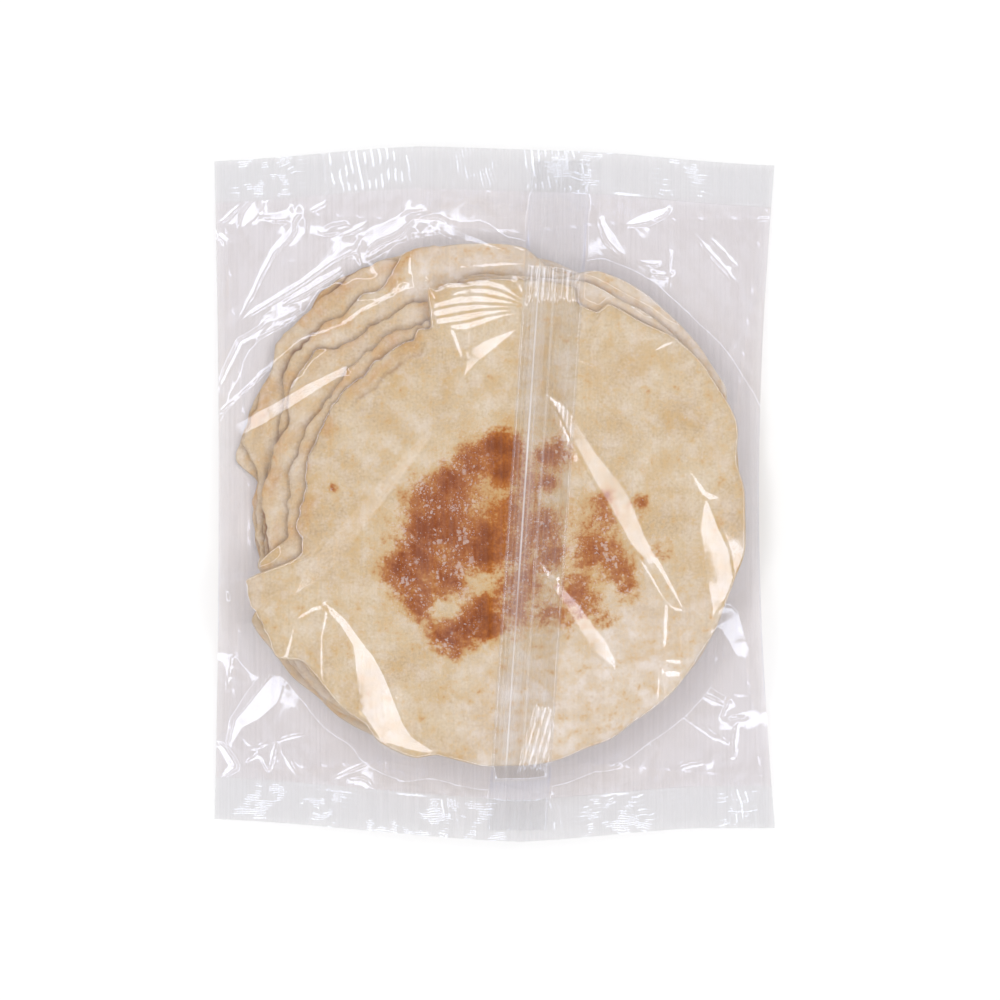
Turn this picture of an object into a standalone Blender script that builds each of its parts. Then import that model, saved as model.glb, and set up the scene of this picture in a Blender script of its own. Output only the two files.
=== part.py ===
"""Six pita breads sealed in a clear bag, lying flat with the bag's back seam up.

The bag is a tube of thin film: a fin seam runs down its back, and each end is shut by a
crimped seal. The stack leans, so the lower breads stand out on its upper left. The bag is
shut and the film lies on the bread, so pack and contents are one closed solid.

Lengths are written in millimetres and turned into metres as the meshes are made. +X is
across the bag, +Y along it and +Z up. The origin is on the table under the bag's middle.
"""

import math

import bmesh
import bpy

MM = 0.001

# The bag, seen from above: its corners, how far its sides draw in round the stack, and the
# knots (x, y) of its two ends, which crown a little where the fin seam is folded in.
CORNER_X = 95.7
SIDE_DRAW = {"left": 1.7, "right": 5.9}
TOP_EDGE = ((-95.7, 113.4), (-26.0, 118.3), (25.0, 116.8), (95.7, 111.9))
BOTTOM_EDGE = ((-95.7, -110.7), (8.0, -118.3), (70.0, -113.8), (95.7, -113.8))
BAG_END = 118.3

# The film: its edges hang above the table, lowest at the corners, and from the top bread it
# comes down in a slope that sags, so that the rims of the lower breads show through it.
FILM = 0.8
SIDE_Z = 6.5
END_Z = 8.0
CORNER_Z = 3.0
SAG = 4.2
TENT_POWER = 3.2
FIN_POWER = 1.5
UNDER_POWER = 2.0
TUCK = 1.4
DIRECTIONS = 96
TOP_RINGS = (0.0, 0.07, 0.16, 0.28, 0.42, 0.6, 0.8, 1.0)
UNDER_RINGS = (0.0, 0.3, 0.6, 1.0)

# The end seals: two films crimped together, with ridges that run across the bag.
SEAL_WIDTH = 14.3
SEAL_LAP = 1.5
SEAL_RIDGES = 5
SEAL_COLUMNS = 24
RIDGE_HEIGHT = 0.4
SEAL_SPARE = 0.1

# The fin seam: a flat ribbed flap that leans a little to the right at its top.
FIN_WIDTH = 20.4
FIN_RIBS = 7
FIN_STATIONS = 40
FIN_MIDDLE_X = 15.1
FIN_LEAN = 0.067
FIN_LIFT = 0.5
RIB_HEIGHT = 0.45

# The main creases of the slack film: the line along the middle of each crease's steeper
# face, and that face's width. The other face falls away more gently, over a longer way.
CREASE_SLOPE = 0.25
CREASE_LEE = 1.6
CREASE_TAPER = 0.2
CREASE_SPARE = 0.15
CREASE_STATIONS = 16
CREASES = (
    {"width": 7.5, "line": ((13.9, 39.4), (32.3, 15.0), (42.5, -2.0), (52.7, -20.7), (64.6, -39.4))},
    {"width": 5.5, "line": ((14.6, -22.4), (22.1, -32.6), (32.3, -46.2), (41.5, -60.5))},
    {"width": 5.5, "line": ((70.0, -1.4), (70.8, -11.0), (72.0, -20.0), (73.5, -29.0))},
    {"width": 7.5, "line": ((-54.0, -40.0), (-47.0, -57.0), (-40.0, -72.0), (-31.0, -82.0))},
)

# The breads, from the bottom up. Each is a round of its own radius about its own middle,
# and each change of reach is (from, to, softness in degrees, change in mm).
THICKNESS = 3.45
BASE_GAP = 0.3
SINK = 0.8
RIM_SEGMENTS = 88
RAGGED = 0.45
BREADS = (
    {
        "name": "bread_1",
        "middle": (-5.5, -3.5),
        "radius": 86.5,
        "changes": ((98, 130, 8, 3.0), (135, 175, 10, -2.5), (172, 205, 5, -9.0)),
    },
    {
        "name": "bread_2",
        "middle": (-4.0, -4.5),
        "radius": 84.5,
        "changes": ((108, 145, 10, 5.5), (168, 215, 8, -6.5)),
    },
    {
        "name": "bread_3",
        "middle": (-2.5, -5.5),
        "radius": 84.0,
        "changes": ((78, 112, 10, 7.0), (150, 200, 12, -8.0)),
    },
    {
        "name": "bread_4",
        "middle": (-0.5, -7.0),
        "radius": 81.0,
        "changes": ((24, 72, 12, 9.5), (98, 135, 5, -5.0), (152, 195, 10, -3.5)),
    },
    {
        "name": "bread_5",
        "middle": (1.0, -8.5),
        "radius": 82.5,
        "changes": ((15, 75, 14, 3.5), (102, 188, 6, -11.0)),
    },
    {
        "name": "bread_6",
        "middle": (2.5, -9.5),
        "radius": 82.5,
        "changes": (
            (18, 52, 12, 3.5),
            (65, 72, 2, -4.5),
            (109, 191.5, 3, -13.5),
            (190.5, 213, 5, 6.5),
            (238, 252, 6, 3.0),
            (300, 350, 10, -1.5),
        ),
    },
)
STACK_TOP = BASE_GAP + THICKNESS * len(BREADS)


def smooth(value):
    """Eases from 0 to 1 as value goes from 0 to 1."""
    value = min(max(value, 0.0), 1.0)
    return value * value * (3.0 - 2.0 * value)


def edge_y(knots, x):
    """The height of an end of the bag at x, eased from knot to knot."""
    for (x0, y0), (x1, y1) in zip(knots, knots[1:]):
        if x <= x1:
            share = min(max((x - x0) / (x1 - x0), 0.0), 1.0)
            return y0 + (y1 - y0) * (0.5 * share + 0.5 * smooth(share))
    return knots[-1][1]


def side_x(side, y):
    """The x of the bag's left or right fold at y: it draws in most beside the stack."""
    draw = SIDE_DRAW[side] * math.cos(0.5 * math.pi * min(abs(y) / BAG_END, 1.0))
    return (CORNER_X - draw) * (1.0 if side == "right" else -1.0)


def reach(bread, angle):
    """How far the bread's edge is from its middle in that direction, in degrees."""
    total = bread["radius"]
    for start, stop, soft, change in bread["changes"]:
        rise = smooth((angle - start) / soft + 0.5)
        fall = smooth((stop - angle) / soft + 0.5)
        total += change * rise * fall
    phase = bread["middle"][0]
    turn = math.radians(angle)
    return total + RAGGED * (math.sin(9 * turn + phase) + 0.6 * math.sin(21 * turn + 2 * phase))


def past_edge(bread, x, y):
    """Distance past the bread's edge, below 0 where the point is on the bread."""
    dx = x - bread["middle"][0]
    dy = y - bread["middle"][1]
    angle = math.degrees(math.atan2(dy, dx)) % 360.0
    return math.hypot(dx, dy) - reach(bread, angle)


def hang(x, y):
    """The height at which the film's edge hangs, lowest at the bag's four corners."""
    across = smooth(abs(x) / CORNER_X)
    along = smooth(abs(y) / BAG_END)
    return CORNER_Z + (SIDE_Z - CORNER_Z) * (1 - along) + (END_Z - CORNER_Z) * (1 - across)


def inner_end(edge, x):
    """The y of the inner edge of an end seal."""
    return edge_y(edge, x) + (SEAL_WIDTH if edge is BOTTOM_EDGE else -SEAL_WIDTH)


def from_middle(turn, far):
    """The point that lies that far from the top bread's middle, in that direction."""
    middle = BREADS[-1]["middle"]
    return middle[0] + far * math.cos(turn), middle[1] + far * math.sin(turn)


def bread_edge(bread, turn):
    """How far from the top bread's middle a bread's edge lies in that direction."""
    far = bread["radius"]
    for _ in range(4):
        far -= past_edge(bread, *from_middle(turn, far))
    return far


def bag_edge(turn):
    """How far from there the side fold or the seal's inner edge lies."""
    middle = BREADS[-1]["middle"]
    side = "right" if math.cos(turn) > 0 else "left"
    end = TOP_EDGE if math.sin(turn) > 0 else BOTTOM_EDGE
    far = CORNER_X
    for _ in range(12):
        x, y = from_middle(turn, far)
        to_side = abs(side_x(side, y) - middle[0]) / max(abs(math.cos(turn)), 1e-6)
        to_end = abs(inner_end(end, x) - middle[1]) / max(abs(math.sin(turn)), 1e-6)
        far = 0.5 * (far + min(to_side, to_end))
    return far


def directions():
    """Evenly spread directions, of which the nearest four are turned to the corners."""
    middle = BREADS[-1]["middle"]
    turns = [2 * math.pi * step / DIRECTIONS for step in range(DIRECTIONS)]
    for side in ("left", "right"):
        for end in (TOP_EDGE, BOTTOM_EDGE):
            x = CORNER_X if side == "right" else -CORNER_X
            y = inner_end(end, x)
            corner = math.atan2(y - middle[1], side_x(side, y) - middle[0]) % (2 * math.pi)
            nearest = round(corner / (2 * math.pi) * DIRECTIONS) % DIRECTIONS
            turns[nearest] = corner
    return turns


def slope(low, share, power):
    """The film's height between the top bread, at 0, and the bag's edge, at 1."""
    return low + (STACK_TOP - low) * (1.0 - share) ** power


def share_out(bread, x, y):
    """How far a point is from a bread's edge, at 0, to the bag's edge, at 1."""
    middle = BREADS[-1]["middle"]
    turn = math.atan2(y - middle[1], x - middle[0])
    rim = bread_edge(bread, turn)
    share = (math.hypot(x - middle[0], y - middle[1]) - rim) / (bag_edge(turn) - rim)
    return min(max(share, 0.0), 1.0)


def underside(low, x, y):
    """The height of the bag's underside, which leaves the table past the lowest bread."""
    return (low - FILM) * share_out(BREADS[0], x, y) ** UNDER_POWER


def tent(low, share, x, y):
    """The height of the slack film round the stack, which is never below the underside."""
    height = slope(low, share, TENT_POWER) - SAG * math.sin(math.pi * share)
    return max(height, underside(low, x, y) + FILM)


def fin_heights(x, y):
    """The fin seam is stiff and slopes straighter than the film: its top, and its foot."""
    low = hang(x, y)
    top = slope(low, share_out(BREADS[-1], x, y), FIN_POWER)
    return top, underside(low, x, y) + FILM / 2


def film_top(x, y):
    """The height of the film, or of the bread that it lies on."""
    height = tent(hang(x, y), share_out(BREADS[-1], x, y), x, y)
    for level, bread in enumerate(BREADS):
        if past_edge(bread, x, y) < -1.0:
            height = max(height, BASE_GAP + THICKNESS * (level + 1))
    return height


def add_object(name, mesh, materials, collection):
    """Links a mesh as an object with its materials, in millimetres scaled to metres."""
    for material in materials:
        mesh.materials.append(material)
    mesh.transform(((MM, 0, 0, 0), (0, MM, 0, 0), (0, 0, MM, 0), (0, 0, 0, 1)))
    made = bpy.data.objects.new(name, mesh)
    collection.objects.link(made)
    return made


def sheet_pair(top, bottom):
    """Closes two grids of points of the same size, one above the other, into a mesh."""
    mesh = bmesh.new()
    high = [[mesh.verts.new(point) for point in row] for row in top]
    low = [[mesh.verts.new(point) for point in row] for row in bottom]
    last_row = len(high) - 1
    last_column = len(high[0]) - 1
    for j in range(last_row):
        for i in range(last_column):
            mesh.faces.new((high[j][i], high[j][i + 1], high[j + 1][i + 1], high[j + 1][i]))
            mesh.faces.new((low[j][i], low[j + 1][i], low[j + 1][i + 1], low[j][i + 1]))
    for i in range(last_column):
        mesh.faces.new((low[0][i], low[0][i + 1], high[0][i + 1], high[0][i]))
        mesh.faces.new((high[-1][i], high[-1][i + 1], low[-1][i + 1], low[-1][i]))
    for j in range(last_row):
        mesh.faces.new((high[j][0], high[j + 1][0], low[j + 1][0], low[j][0]))
        mesh.faces.new((low[j][-1], low[j + 1][-1], high[j + 1][-1], high[j][-1]))
    data = bpy.data.meshes.new("sheet")
    mesh.to_mesh(data)
    mesh.free()
    return data


def film_body(materials, collection):
    """The film from the top bread's rim out to the folds and seals, and back below."""
    loops = []
    turns = directions()
    for share in (*TOP_RINGS, *reversed(UNDER_RINGS)):
        upper = len(loops) < len(TOP_RINGS)
        loop = []
        for turn in turns:
            bread = BREADS[-1] if upper else BREADS[0]
            rim = bread_edge(bread, turn) - TUCK
            edge = bag_edge(turn)
            low = hang(*from_middle(turn, edge))
            x, y = from_middle(turn, rim + (edge - rim) * share)
            if upper:
                height = tent(low, share, x, y) - TUCK * (1.0 - share) ** 8
            else:
                height = (low - FILM) * share ** UNDER_POWER
            loop.append((x, y, height))
        loops.append(loop)
    mesh = bmesh.new()
    rings = [[mesh.verts.new(point) for point in loop] for loop in loops]
    for inner, outer in zip(rings, rings[1:]):
        for step in range(DIRECTIONS):
            after = (step + 1) % DIRECTIONS
            mesh.faces.new((inner[step], outer[step], outer[after], inner[after]))
    mesh.faces.new(rings[0])
    mesh.faces.new(list(reversed(rings[-1])))
    data = bpy.data.meshes.new("film")
    mesh.to_mesh(data)
    mesh.free()
    return add_object("pita_bag", data, materials, collection)


def end_seal(name, edge, materials, collection):
    """A crimped seal across one end of the bag."""
    outward = 1.0 if edge is TOP_EDGE else -1.0
    steps = 2 * SEAL_RIDGES
    rows = [(-SEAL_LAP, 0.0)]
    rows += [(SEAL_WIDTH * step / steps, RIDGE_HEIGHT * (step % 2)) for step in range(steps + 1)]
    top = []
    bottom = []
    for depth, ridge in rows[:: int(outward)]:
        top_row = []
        bottom_row = []
        for column in range(SEAL_COLUMNS + 1):
            across = column / SEAL_COLUMNS
            x = CORNER_X * (2 * across - 1)
            y = inner_end(edge, x) + outward * depth
            x = side_x("left", y) * (1 - across) + side_x("right", y) * across
            height = hang(x, y)
            top_row.append((x, y, height + SEAL_SPARE + ridge))
            bottom_row.append((x, y, height - FILM - SEAL_SPARE))
        top.append(top_row)
        bottom.append(bottom_row)
    add_object(name, sheet_pair(top, bottom), materials, collection)


def bread_round(level, bread, materials, collection):
    """One flat round with a blunt rolled rim and a slightly uneven top."""
    base = BASE_GAP + THICKNESS * level
    # Each ring is (inset from the edge, height, how much of the top's waviness it has).
    rings = (
        (2.0, -SINK if level else 0.0, 0.0),
        (0.3, 0.9, 0.0),
        (0.0, 2.0, 0.2),
        (0.9, 3.1, 0.5),
        (3.0, THICKNESS, 1.0),
        (16.0, THICKNESS - 0.1, 0.7),
        (45.0, THICKNESS, 0.4),
    )
    mesh = bmesh.new()
    loops = []
    for inset, height, wave in rings:
        loop = []
        for step in range(RIM_SEGMENTS):
            angle = 360.0 * step / RIM_SEGMENTS
            turn = math.radians(angle)
            far = reach(bread, angle) - inset
            swell = 0.35 * wave * math.sin(5 * turn + level) * math.sin(3 * turn + 2 * level)
            x = bread["middle"][0] + far * math.cos(turn)
            y = bread["middle"][1] + far * math.sin(turn)
            loop.append(mesh.verts.new((x, y, base + height + swell)))
        loops.append(loop)
    for inner, outer in zip(loops, loops[1:]):
        for step in range(RIM_SEGMENTS):
            after = (step + 1) % RIM_SEGMENTS
            mesh.faces.new((inner[step], inner[after], outer[after], outer[step]))
    mesh.faces.new(list(reversed(loops[0])))
    crown = mesh.verts.new((*bread["middle"], base + THICKNESS))
    for step in range(RIM_SEGMENTS):
        mesh.faces.new((loops[-1][step], loops[-1][(step + 1) % RIM_SEGMENTS], crown))
    for face in mesh.faces:
        face.material_index = 1
    data = bpy.data.meshes.new(bread["name"])
    mesh.to_mesh(data)
    mesh.free()
    return add_object(bread["name"], data, materials, collection)


def fin_seam(materials, collection):
    """The ribbed flap down the bag's back, from one end seal to the other."""
    top = []
    bottom = []
    across_steps = 2 * FIN_RIBS
    for station in range(FIN_STATIONS + 1):
        along = station / FIN_STATIONS
        top_row = []
        bottom_row = []
        for step in range(across_steps + 1):
            offset = FIN_WIDTH * (step / across_steps - 0.5)
            low = edge_y(BOTTOM_EDGE, FIN_MIDDLE_X) + SEAL_WIDTH / 4
            high = edge_y(TOP_EDGE, FIN_MIDDLE_X) - SEAL_WIDTH / 4
            y = low + (high - low) * along
            x = FIN_MIDDLE_X + FIN_LEAN * y + offset
            height, foot = fin_heights(x, y)
            rib = RIB_HEIGHT if step % 2 else 0.0
            top_row.append((x, y, height + FIN_LIFT + rib))
            bottom_row.append((x, y, foot))
        top.append(top_row)
        bottom.append(bottom_row)
    return add_object("fin_seam", sheet_pair(top, bottom), materials, collection)


def along_line(line, share):
    """The point at that share of a line of points, and the unit vector to its right there."""
    place = share * (len(line) - 1)
    first = min(int(place), len(line) - 2)
    (x0, y0), (x1, y1) = line[first], line[first + 1]
    length = math.hypot(x1 - x0, y1 - y0)
    part = place - first
    return (x0 + (x1 - x0) * part, y0 + (y1 - y0) * part), ((y1 - y0) / length, (x0 - x1) / length)


def crease(name, width, line, materials, collection):
    """A long fold that stands up from the film, steeper on its right side, tapered at its ends."""
    top = []
    bottom = []
    for station in range(CREASE_STATIONS + 1):
        share = station / CREASE_STATIONS
        (x, y), right = along_line(line, share)
        wide = width * max(CREASE_TAPER, math.sqrt(math.sin(math.pi * share)))
        top_row = []
        bottom_row = []
        for offset in (-0.5 - CREASE_LEE, -0.5, 0.5):
            rise = CREASE_SLOPE * wide if offset == -0.5 else 0.0
            px = x + right[0] * offset * wide
            py = y + right[1] * offset * wide
            top_row.append((px, py, film_top(px, py) + rise + CREASE_SPARE))
            bottom_row.append((px, py, fin_heights(px, py)[1]))
        top.append(top_row)
        bottom.append(bottom_row)
    return add_object(name, sheet_pair(top, bottom), materials, collection)


def fill_pockets(data):
    """Deletes the walls of sealed pockets between the pieces, which leaves them solid."""
    mesh = bmesh.new()
    mesh.from_mesh(data)
    reached = {max(mesh.verts, key=lambda vert: vert.co.x)}
    border = list(reached)
    while border:
        vert = border.pop()
        near = {edge.other_vert(vert) for edge in vert.link_edges}
        border.extend(near - reached)
        reached |= near
    inner = [vert for vert in mesh.verts if vert not in reached]
    bmesh.ops.delete(mesh, geom=inner, context="VERTS")
    mesh.to_mesh(data)
    mesh.free()


def join_all(base, collection):
    """Unites the film with what is in the collection into one closed body."""
    union = base.modifiers.new("union", "BOOLEAN")
    union.operation = "UNION"
    union.operand_type = "COLLECTION"
    union.collection = collection
    union.solver = "MANIFOLD"
    graph = bpy.context.evaluated_depsgraph_get()
    joined = bpy.data.meshes.new_from_object(base.evaluated_get(graph))
    fill_pockets(joined)
    base.modifiers.clear()
    base.data = joined
    for piece in list(collection.objects):
        bpy.data.objects.remove(piece)
    bpy.data.collections.remove(collection)


def make_material(name, colour, roughness, alpha):
    """A plain Principled surface."""
    made = bpy.data.materials.new(name)
    made.use_nodes = True
    shader = made.node_tree.nodes["Principled BSDF"]
    shader.inputs["Base Color"].default_value = (*colour, 1.0)
    shader.inputs["Roughness"].default_value = roughness
    shader.inputs["Metallic"].default_value = 0.0
    shader.inputs["Alpha"].default_value = alpha
    return made


for old in list(bpy.data.objects):
    bpy.data.objects.remove(old)

bag_parts = bpy.data.collections.new("bag_of_pita")
joined_parts = bpy.data.collections.new("joined_parts")
bpy.context.scene.collection.children.link(bag_parts)
bpy.context.scene.collection.children.link(joined_parts)

film_colour = make_material("clear_film", (0.74, 0.72, 0.70), 0.12, 0.5)
bread_colour = make_material("pita_bread", (0.66, 0.52, 0.36), 0.8, 1.0)
both = (film_colour, bread_colour)

bag = film_body(both, bag_parts)
end_seal("top_seal", TOP_EDGE, both, joined_parts)
end_seal("bottom_seal", BOTTOM_EDGE, both, joined_parts)
for place, one_bread in enumerate(BREADS):
    bread_round(place, one_bread, both, joined_parts)
fin_seam(both, joined_parts)
for place, fold in enumerate(CREASES):
    crease(f"crease_{place + 1}", fold["width"], fold["line"], both, joined_parts)
join_all(bag, joined_parts)
bag.data.shade_smooth()
bag.data.set_sharp_from_angle(angle=math.radians(35))
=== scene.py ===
"""Six white pita breads sealed in a clear bag, lying flat with the bag's back seam up.

Lengths are in millimetres and are turned into metres as each mesh is made. +X is across the
bag, +Y along it and +Z up from the table. Sizes that the solid already has are repeated here
with the same names, so that bread and film lie where the solid is.
"""

import math

import bpy
import numpy as np
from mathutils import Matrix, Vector
from mathutils.geometry import delaunay_2d_cdt


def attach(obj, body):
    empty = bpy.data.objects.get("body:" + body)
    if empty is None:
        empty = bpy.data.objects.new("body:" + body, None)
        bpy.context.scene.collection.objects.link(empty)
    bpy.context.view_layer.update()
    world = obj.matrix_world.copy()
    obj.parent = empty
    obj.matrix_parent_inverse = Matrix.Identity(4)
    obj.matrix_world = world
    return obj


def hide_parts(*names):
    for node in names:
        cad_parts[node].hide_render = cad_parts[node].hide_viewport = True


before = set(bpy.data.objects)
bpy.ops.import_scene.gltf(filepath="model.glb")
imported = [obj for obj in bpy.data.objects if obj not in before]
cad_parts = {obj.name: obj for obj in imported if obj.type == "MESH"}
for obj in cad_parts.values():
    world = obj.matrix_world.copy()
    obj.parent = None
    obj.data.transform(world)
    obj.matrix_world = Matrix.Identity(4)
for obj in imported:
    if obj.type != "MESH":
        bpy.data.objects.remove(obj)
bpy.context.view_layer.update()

# The breads
# Rounds of plain wheat flatbread, rolled thin, baked on a hot plate and dusted with flour.
# They were dropped into the bag one on the other, and the stack has slid a little, so that
# the torn and crumbly rims of the lower ones stand out on the upper left.

MM = 0.001
THICKNESS = 3.45
BASE_GAP = 0.3
RAGGED = 0.45
STACK_TOP = BASE_GAP + THICKNESS * 6

# Each change of reach is (from, to, softness in degrees, change in mm), and each stretch of
# crumbly rim is (from, to in degrees, size of the bumps, depth of the bumps).
BREADS = (
    {
        "middle": (-5.5, -3.5),
        "radius": 86.5,
        "changes": ((98, 130, 8, 3.0), (135, 175, 10, -2.5), (172, 205, 5, -9.0)),
        "crumbs": ((0, 360, 9, 0.5), (95, 200, 4, 0.7)),
    },
    {
        "middle": (-4.0, -4.5),
        "radius": 84.5,
        "changes": ((108, 145, 10, 5.5), (168, 215, 8, -6.5)),
        "crumbs": ((0, 360, 8, 0.5), (100, 220, 3.5, 0.9), (100, 220, 1.8, 0.3)),
    },
    {
        "middle": (-2.5, -5.5),
        "radius": 84.0,
        "changes": ((78, 112, 10, 7.0), (150, 200, 12, -8.0)),
        "crumbs": ((0, 360, 9, 0.5), (100, 215, 5, 0.8), (100, 215, 2, 0.5)),
    },
    {
        "middle": (-0.5, -7.0),
        "radius": 81.0,
        "changes": ((24, 72, 12, 9.5), (98, 135, 5, -5.0), (152, 195, 10, -3.5)),
        "crumbs": ((0, 360, 9, 0.4), (98, 200, 8, 1.2), (98, 200, 2.5, 0.75)),
    },
    {
        "middle": (1.0, -8.5),
        "radius": 82.5,
        "changes": ((15, 75, 14, 3.5), (102, 188, 6, -11.0)),
        "crumbs": ((0, 360, 9, 0.4), (100, 195, 6, 0.9), (100, 195, 2, 0.65)),
    },
    {
        "middle": (2.5, -9.5),
        "radius": 82.5,
        "changes": (
            (18, 52, 12, 3.5),
            (65, 72, 2, -4.5),
            (109, 191.5, 3, -13.5),
            (190.5, 213, 5, 6.5),
            (238, 252, 6, 3.0),
            (300, 350, 10, -1.5),
        ),
        "crumbs": ((0, 360, 8, 0.3), (105, 190, 5, 0.85), (105, 215, 2, 0.6), (99, 118, 3, 1.1)),
    },
)
DIRECTIONS = 720
UNDER_INSETS = (20.0, 8.0, 3.5, 1.6, 0.7, 0.25)
RIM_INSETS = (0.25, 0.6, 1.0, 1.5, 2.1, 2.8, 3.6, 4.5, 5.5, 6.6, 7.8, 9.0, 10.5, 12.0)
HIDDEN_INSETS = (15.0, 19.0, 24.0, 32.0)
FAR_IN = 99.0
MIDDLE_RINGS = 92
TOP_ROUNDING = 0.8
LOW_ROUNDING = 0.5


def ease(value):
    """Eases from 0 to 1 as value goes from 0 to 1."""
    value = np.clip(value, 0.0, 1.0)
    return value * value * (3.0 - 2.0 * value)


def bumps(x, y, size, seed):
    """Smooth random bumps of about that size, between -1 and 1."""
    table = np.random.default_rng(seed).uniform(-1.0, 1.0, (64, 64))
    across = (0.8 * x + 0.6 * y) / size
    along = (0.8 * y - 0.6 * x) / size
    i = np.floor(across).astype(int)
    j = np.floor(along).astype(int)
    right = ease(across - i)
    up = ease(along - j)
    low = table[i % 64, j % 64] * (1 - right) + table[(i + 1) % 64, j % 64] * right
    high = table[i % 64, (j + 1) % 64] * (1 - right) + table[(i + 1) % 64, (j + 1) % 64] * right
    return low * (1 - up) + high * up


def between(degrees, start, stop, soft):
    """1 from start to stop, easing to 0 outside them."""
    return ease((degrees - start) / soft + 0.5) * ease((stop - degrees) / soft + 0.5)


def reach(bread, degrees):
    """How far a bread's edge is from its middle in those directions."""
    degrees = degrees % 360.0
    turn = np.radians(degrees)
    phase = bread["middle"][0]
    ragged = np.sin(9 * turn + phase) + 0.6 * np.sin(21 * turn + 2 * phase)
    total = bread["radius"] + RAGGED * ragged
    for start, stop, soft, change in bread["changes"]:
        total = total + change * between(degrees, start, stop, soft)
    x = bread["radius"] * np.cos(turn)
    y = bread["radius"] * np.sin(turn)
    for start, stop, size, depth in bread["crumbs"]:
        seed = int(10 * size + 7 * bread["radius"])
        there = between(degrees, start, stop, 6.0) if stop - start < 360 else 1.0
        total = total + depth * there * bumps(x, y, size, seed)
    return total


def past_edge(bread, x, y):
    """Distance past a bread's edge, below 0 on the bread."""
    dx = x - bread["middle"][0]
    dy = y - bread["middle"][1]
    return np.hypot(dx, dy) - reach(bread, np.degrees(np.arctan2(dy, dx)))


def mesh_object(name, points, faces, material, body="root"):
    """Makes a smooth object from points in millimetres, and lets it ride on its body."""
    data = bpy.data.meshes.new(name)
    data.from_pydata((points * MM).tolist(), [], faces)
    data.shade_smooth()
    data.materials.append(material)
    made = bpy.data.objects.new(name, data)
    bpy.context.scene.collection.objects.link(made)
    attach(made, body)
    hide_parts("pita_bag")
    return made


def ring_faces(rings, count):
    """Quads between rings of points, each ring of that many points."""
    step = np.arange(count)
    after = (step + 1) % count
    quads = []
    for ring in range(rings - 1):
        low = ring * count
        high = low + count
        quads.append(np.stack([low + step, low + after, high + after, high + step], axis=1))
    return np.concatenate(quads).tolist()


def linear(colour):
    """An sRGB hex colour as linear RGBA."""
    parts = [int(colour[k : k + 2], 16) / 255 for k in (1, 3, 5)]
    return (*[p / 12.92 if p <= 0.04045 else ((p + 0.055) / 1.055) ** 2.4 for p in parts], 1.0)


def node(tree, kind, inputs=(), stops=None, **settings):
    """Adds a node with its settings. An input is a value, or the socket that is linked to it."""
    made = tree.nodes.new(kind)
    for name, value in settings.items():
        setattr(made, name, value)
    for name, value in inputs.items() if isinstance(inputs, dict) else enumerate(inputs):
        if isinstance(value, bpy.types.NodeSocket):
            tree.links.new(value, made.inputs[name])
        else:
            made.inputs[name].default_value = value
    if stops:
        ramp = made.color_ramp.elements
        while len(ramp) < len(stops):
            ramp.new(0.5)
        for element, (position, colour) in zip(ramp, stops):
            element.position = position
            element.color = linear(colour) if isinstance(colour, str) else (colour,) * 3 + (1.0,)
    return made


def new_material(name):
    """An empty material and its tree, with only the output left."""
    made = bpy.data.materials.new(name)
    made.use_nodes = True
    tree = made.node_tree
    tree.nodes.clear()
    return made, tree, node(tree, "ShaderNodeOutputMaterial")


# Baked wheat dough: dry and quite matte, ivory to tan in soft clouds, with a fine grain,
# darker pores and a dusting of flour. Where the hot plate touched it, it is toasted brown.
# In the creases between the breads it is darkened brown with painted shade.
CLOUD_MM = 15.0
GOLDEN_MM = 11.0
FLOUR_CLOUD_MM = 7.0
CLUMP_MM = 3.8
MOTTLE_MM = 3.4
PORE_MM = 2.7
SPECK_MM = 1.9
SPECK_WANDER_MM = 1.3
GRAIN_MM = 0.9
FINE_SPECK_MM = 0.8
bread_crust, tree, output = new_material("baked_flatbread")
object_m = node(tree, "ShaderNodeTexCoord").outputs["Object"]
object_mm = node(
    tree, "ShaderNodeVectorMath", (object_m, (1 / MM, 1 / MM, 1 / MM)), operation="MULTIPLY"
).outputs[0]
clouds, mottle, grain, golden_cloud, flour_cloud = (
    node(tree, "ShaderNodeTexNoise", {"Vector": object_mm, "Scale": 1 / size, **more}).outputs[0]
    for size, more in (
        (CLOUD_MM, {"Detail": 2.0}),
        (MOTTLE_MM, {"Detail": 3.0}),
        (GRAIN_MM, {"Detail": 2.0}),
        (GOLDEN_MM, {"Detail": 3.0, "Distortion": 0.6}),
        (FLOUR_CLOUD_MM, {"Detail": 4.0, "Roughness": 0.6}),
    )
)
powder, painted_crease_shade, rim_tan, toast, dusted = (
    node(tree, "ShaderNodeAttribute", attribute_name=name).outputs["Fac"]
    for name in ("powder", "painted_crease_shade", "rim_tan", "toast", "dusted")
)
soft_tone = node(tree, "ShaderNodeMath", (clouds, 0.42, 0.27), operation="MULTIPLY_ADD").outputs[0]
mixed_tone = node(
    tree, "ShaderNodeMath", (mottle, 0.18, soft_tone), operation="MULTIPLY_ADD"
).outputs[0]
tone = node(tree, "ShaderNodeMath", (grain, 0.42, mixed_tone), operation="MULTIPLY_ADD").outputs[0]
dough = node(
    tree,
    "ShaderNodeValToRGB",
    (tone,),
    stops=((0.6, "#C7AE8B"), (0.73, "#D6C1A0"), (0.83, "#DECDAF"), (0.96, "#E9DDC9")),
).outputs[0]
golden_share = node(tree, "ShaderNodeMapRange", (golden_cloud, 0.5, 0.7, 0.0, 0.5)).outputs[0]

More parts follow.
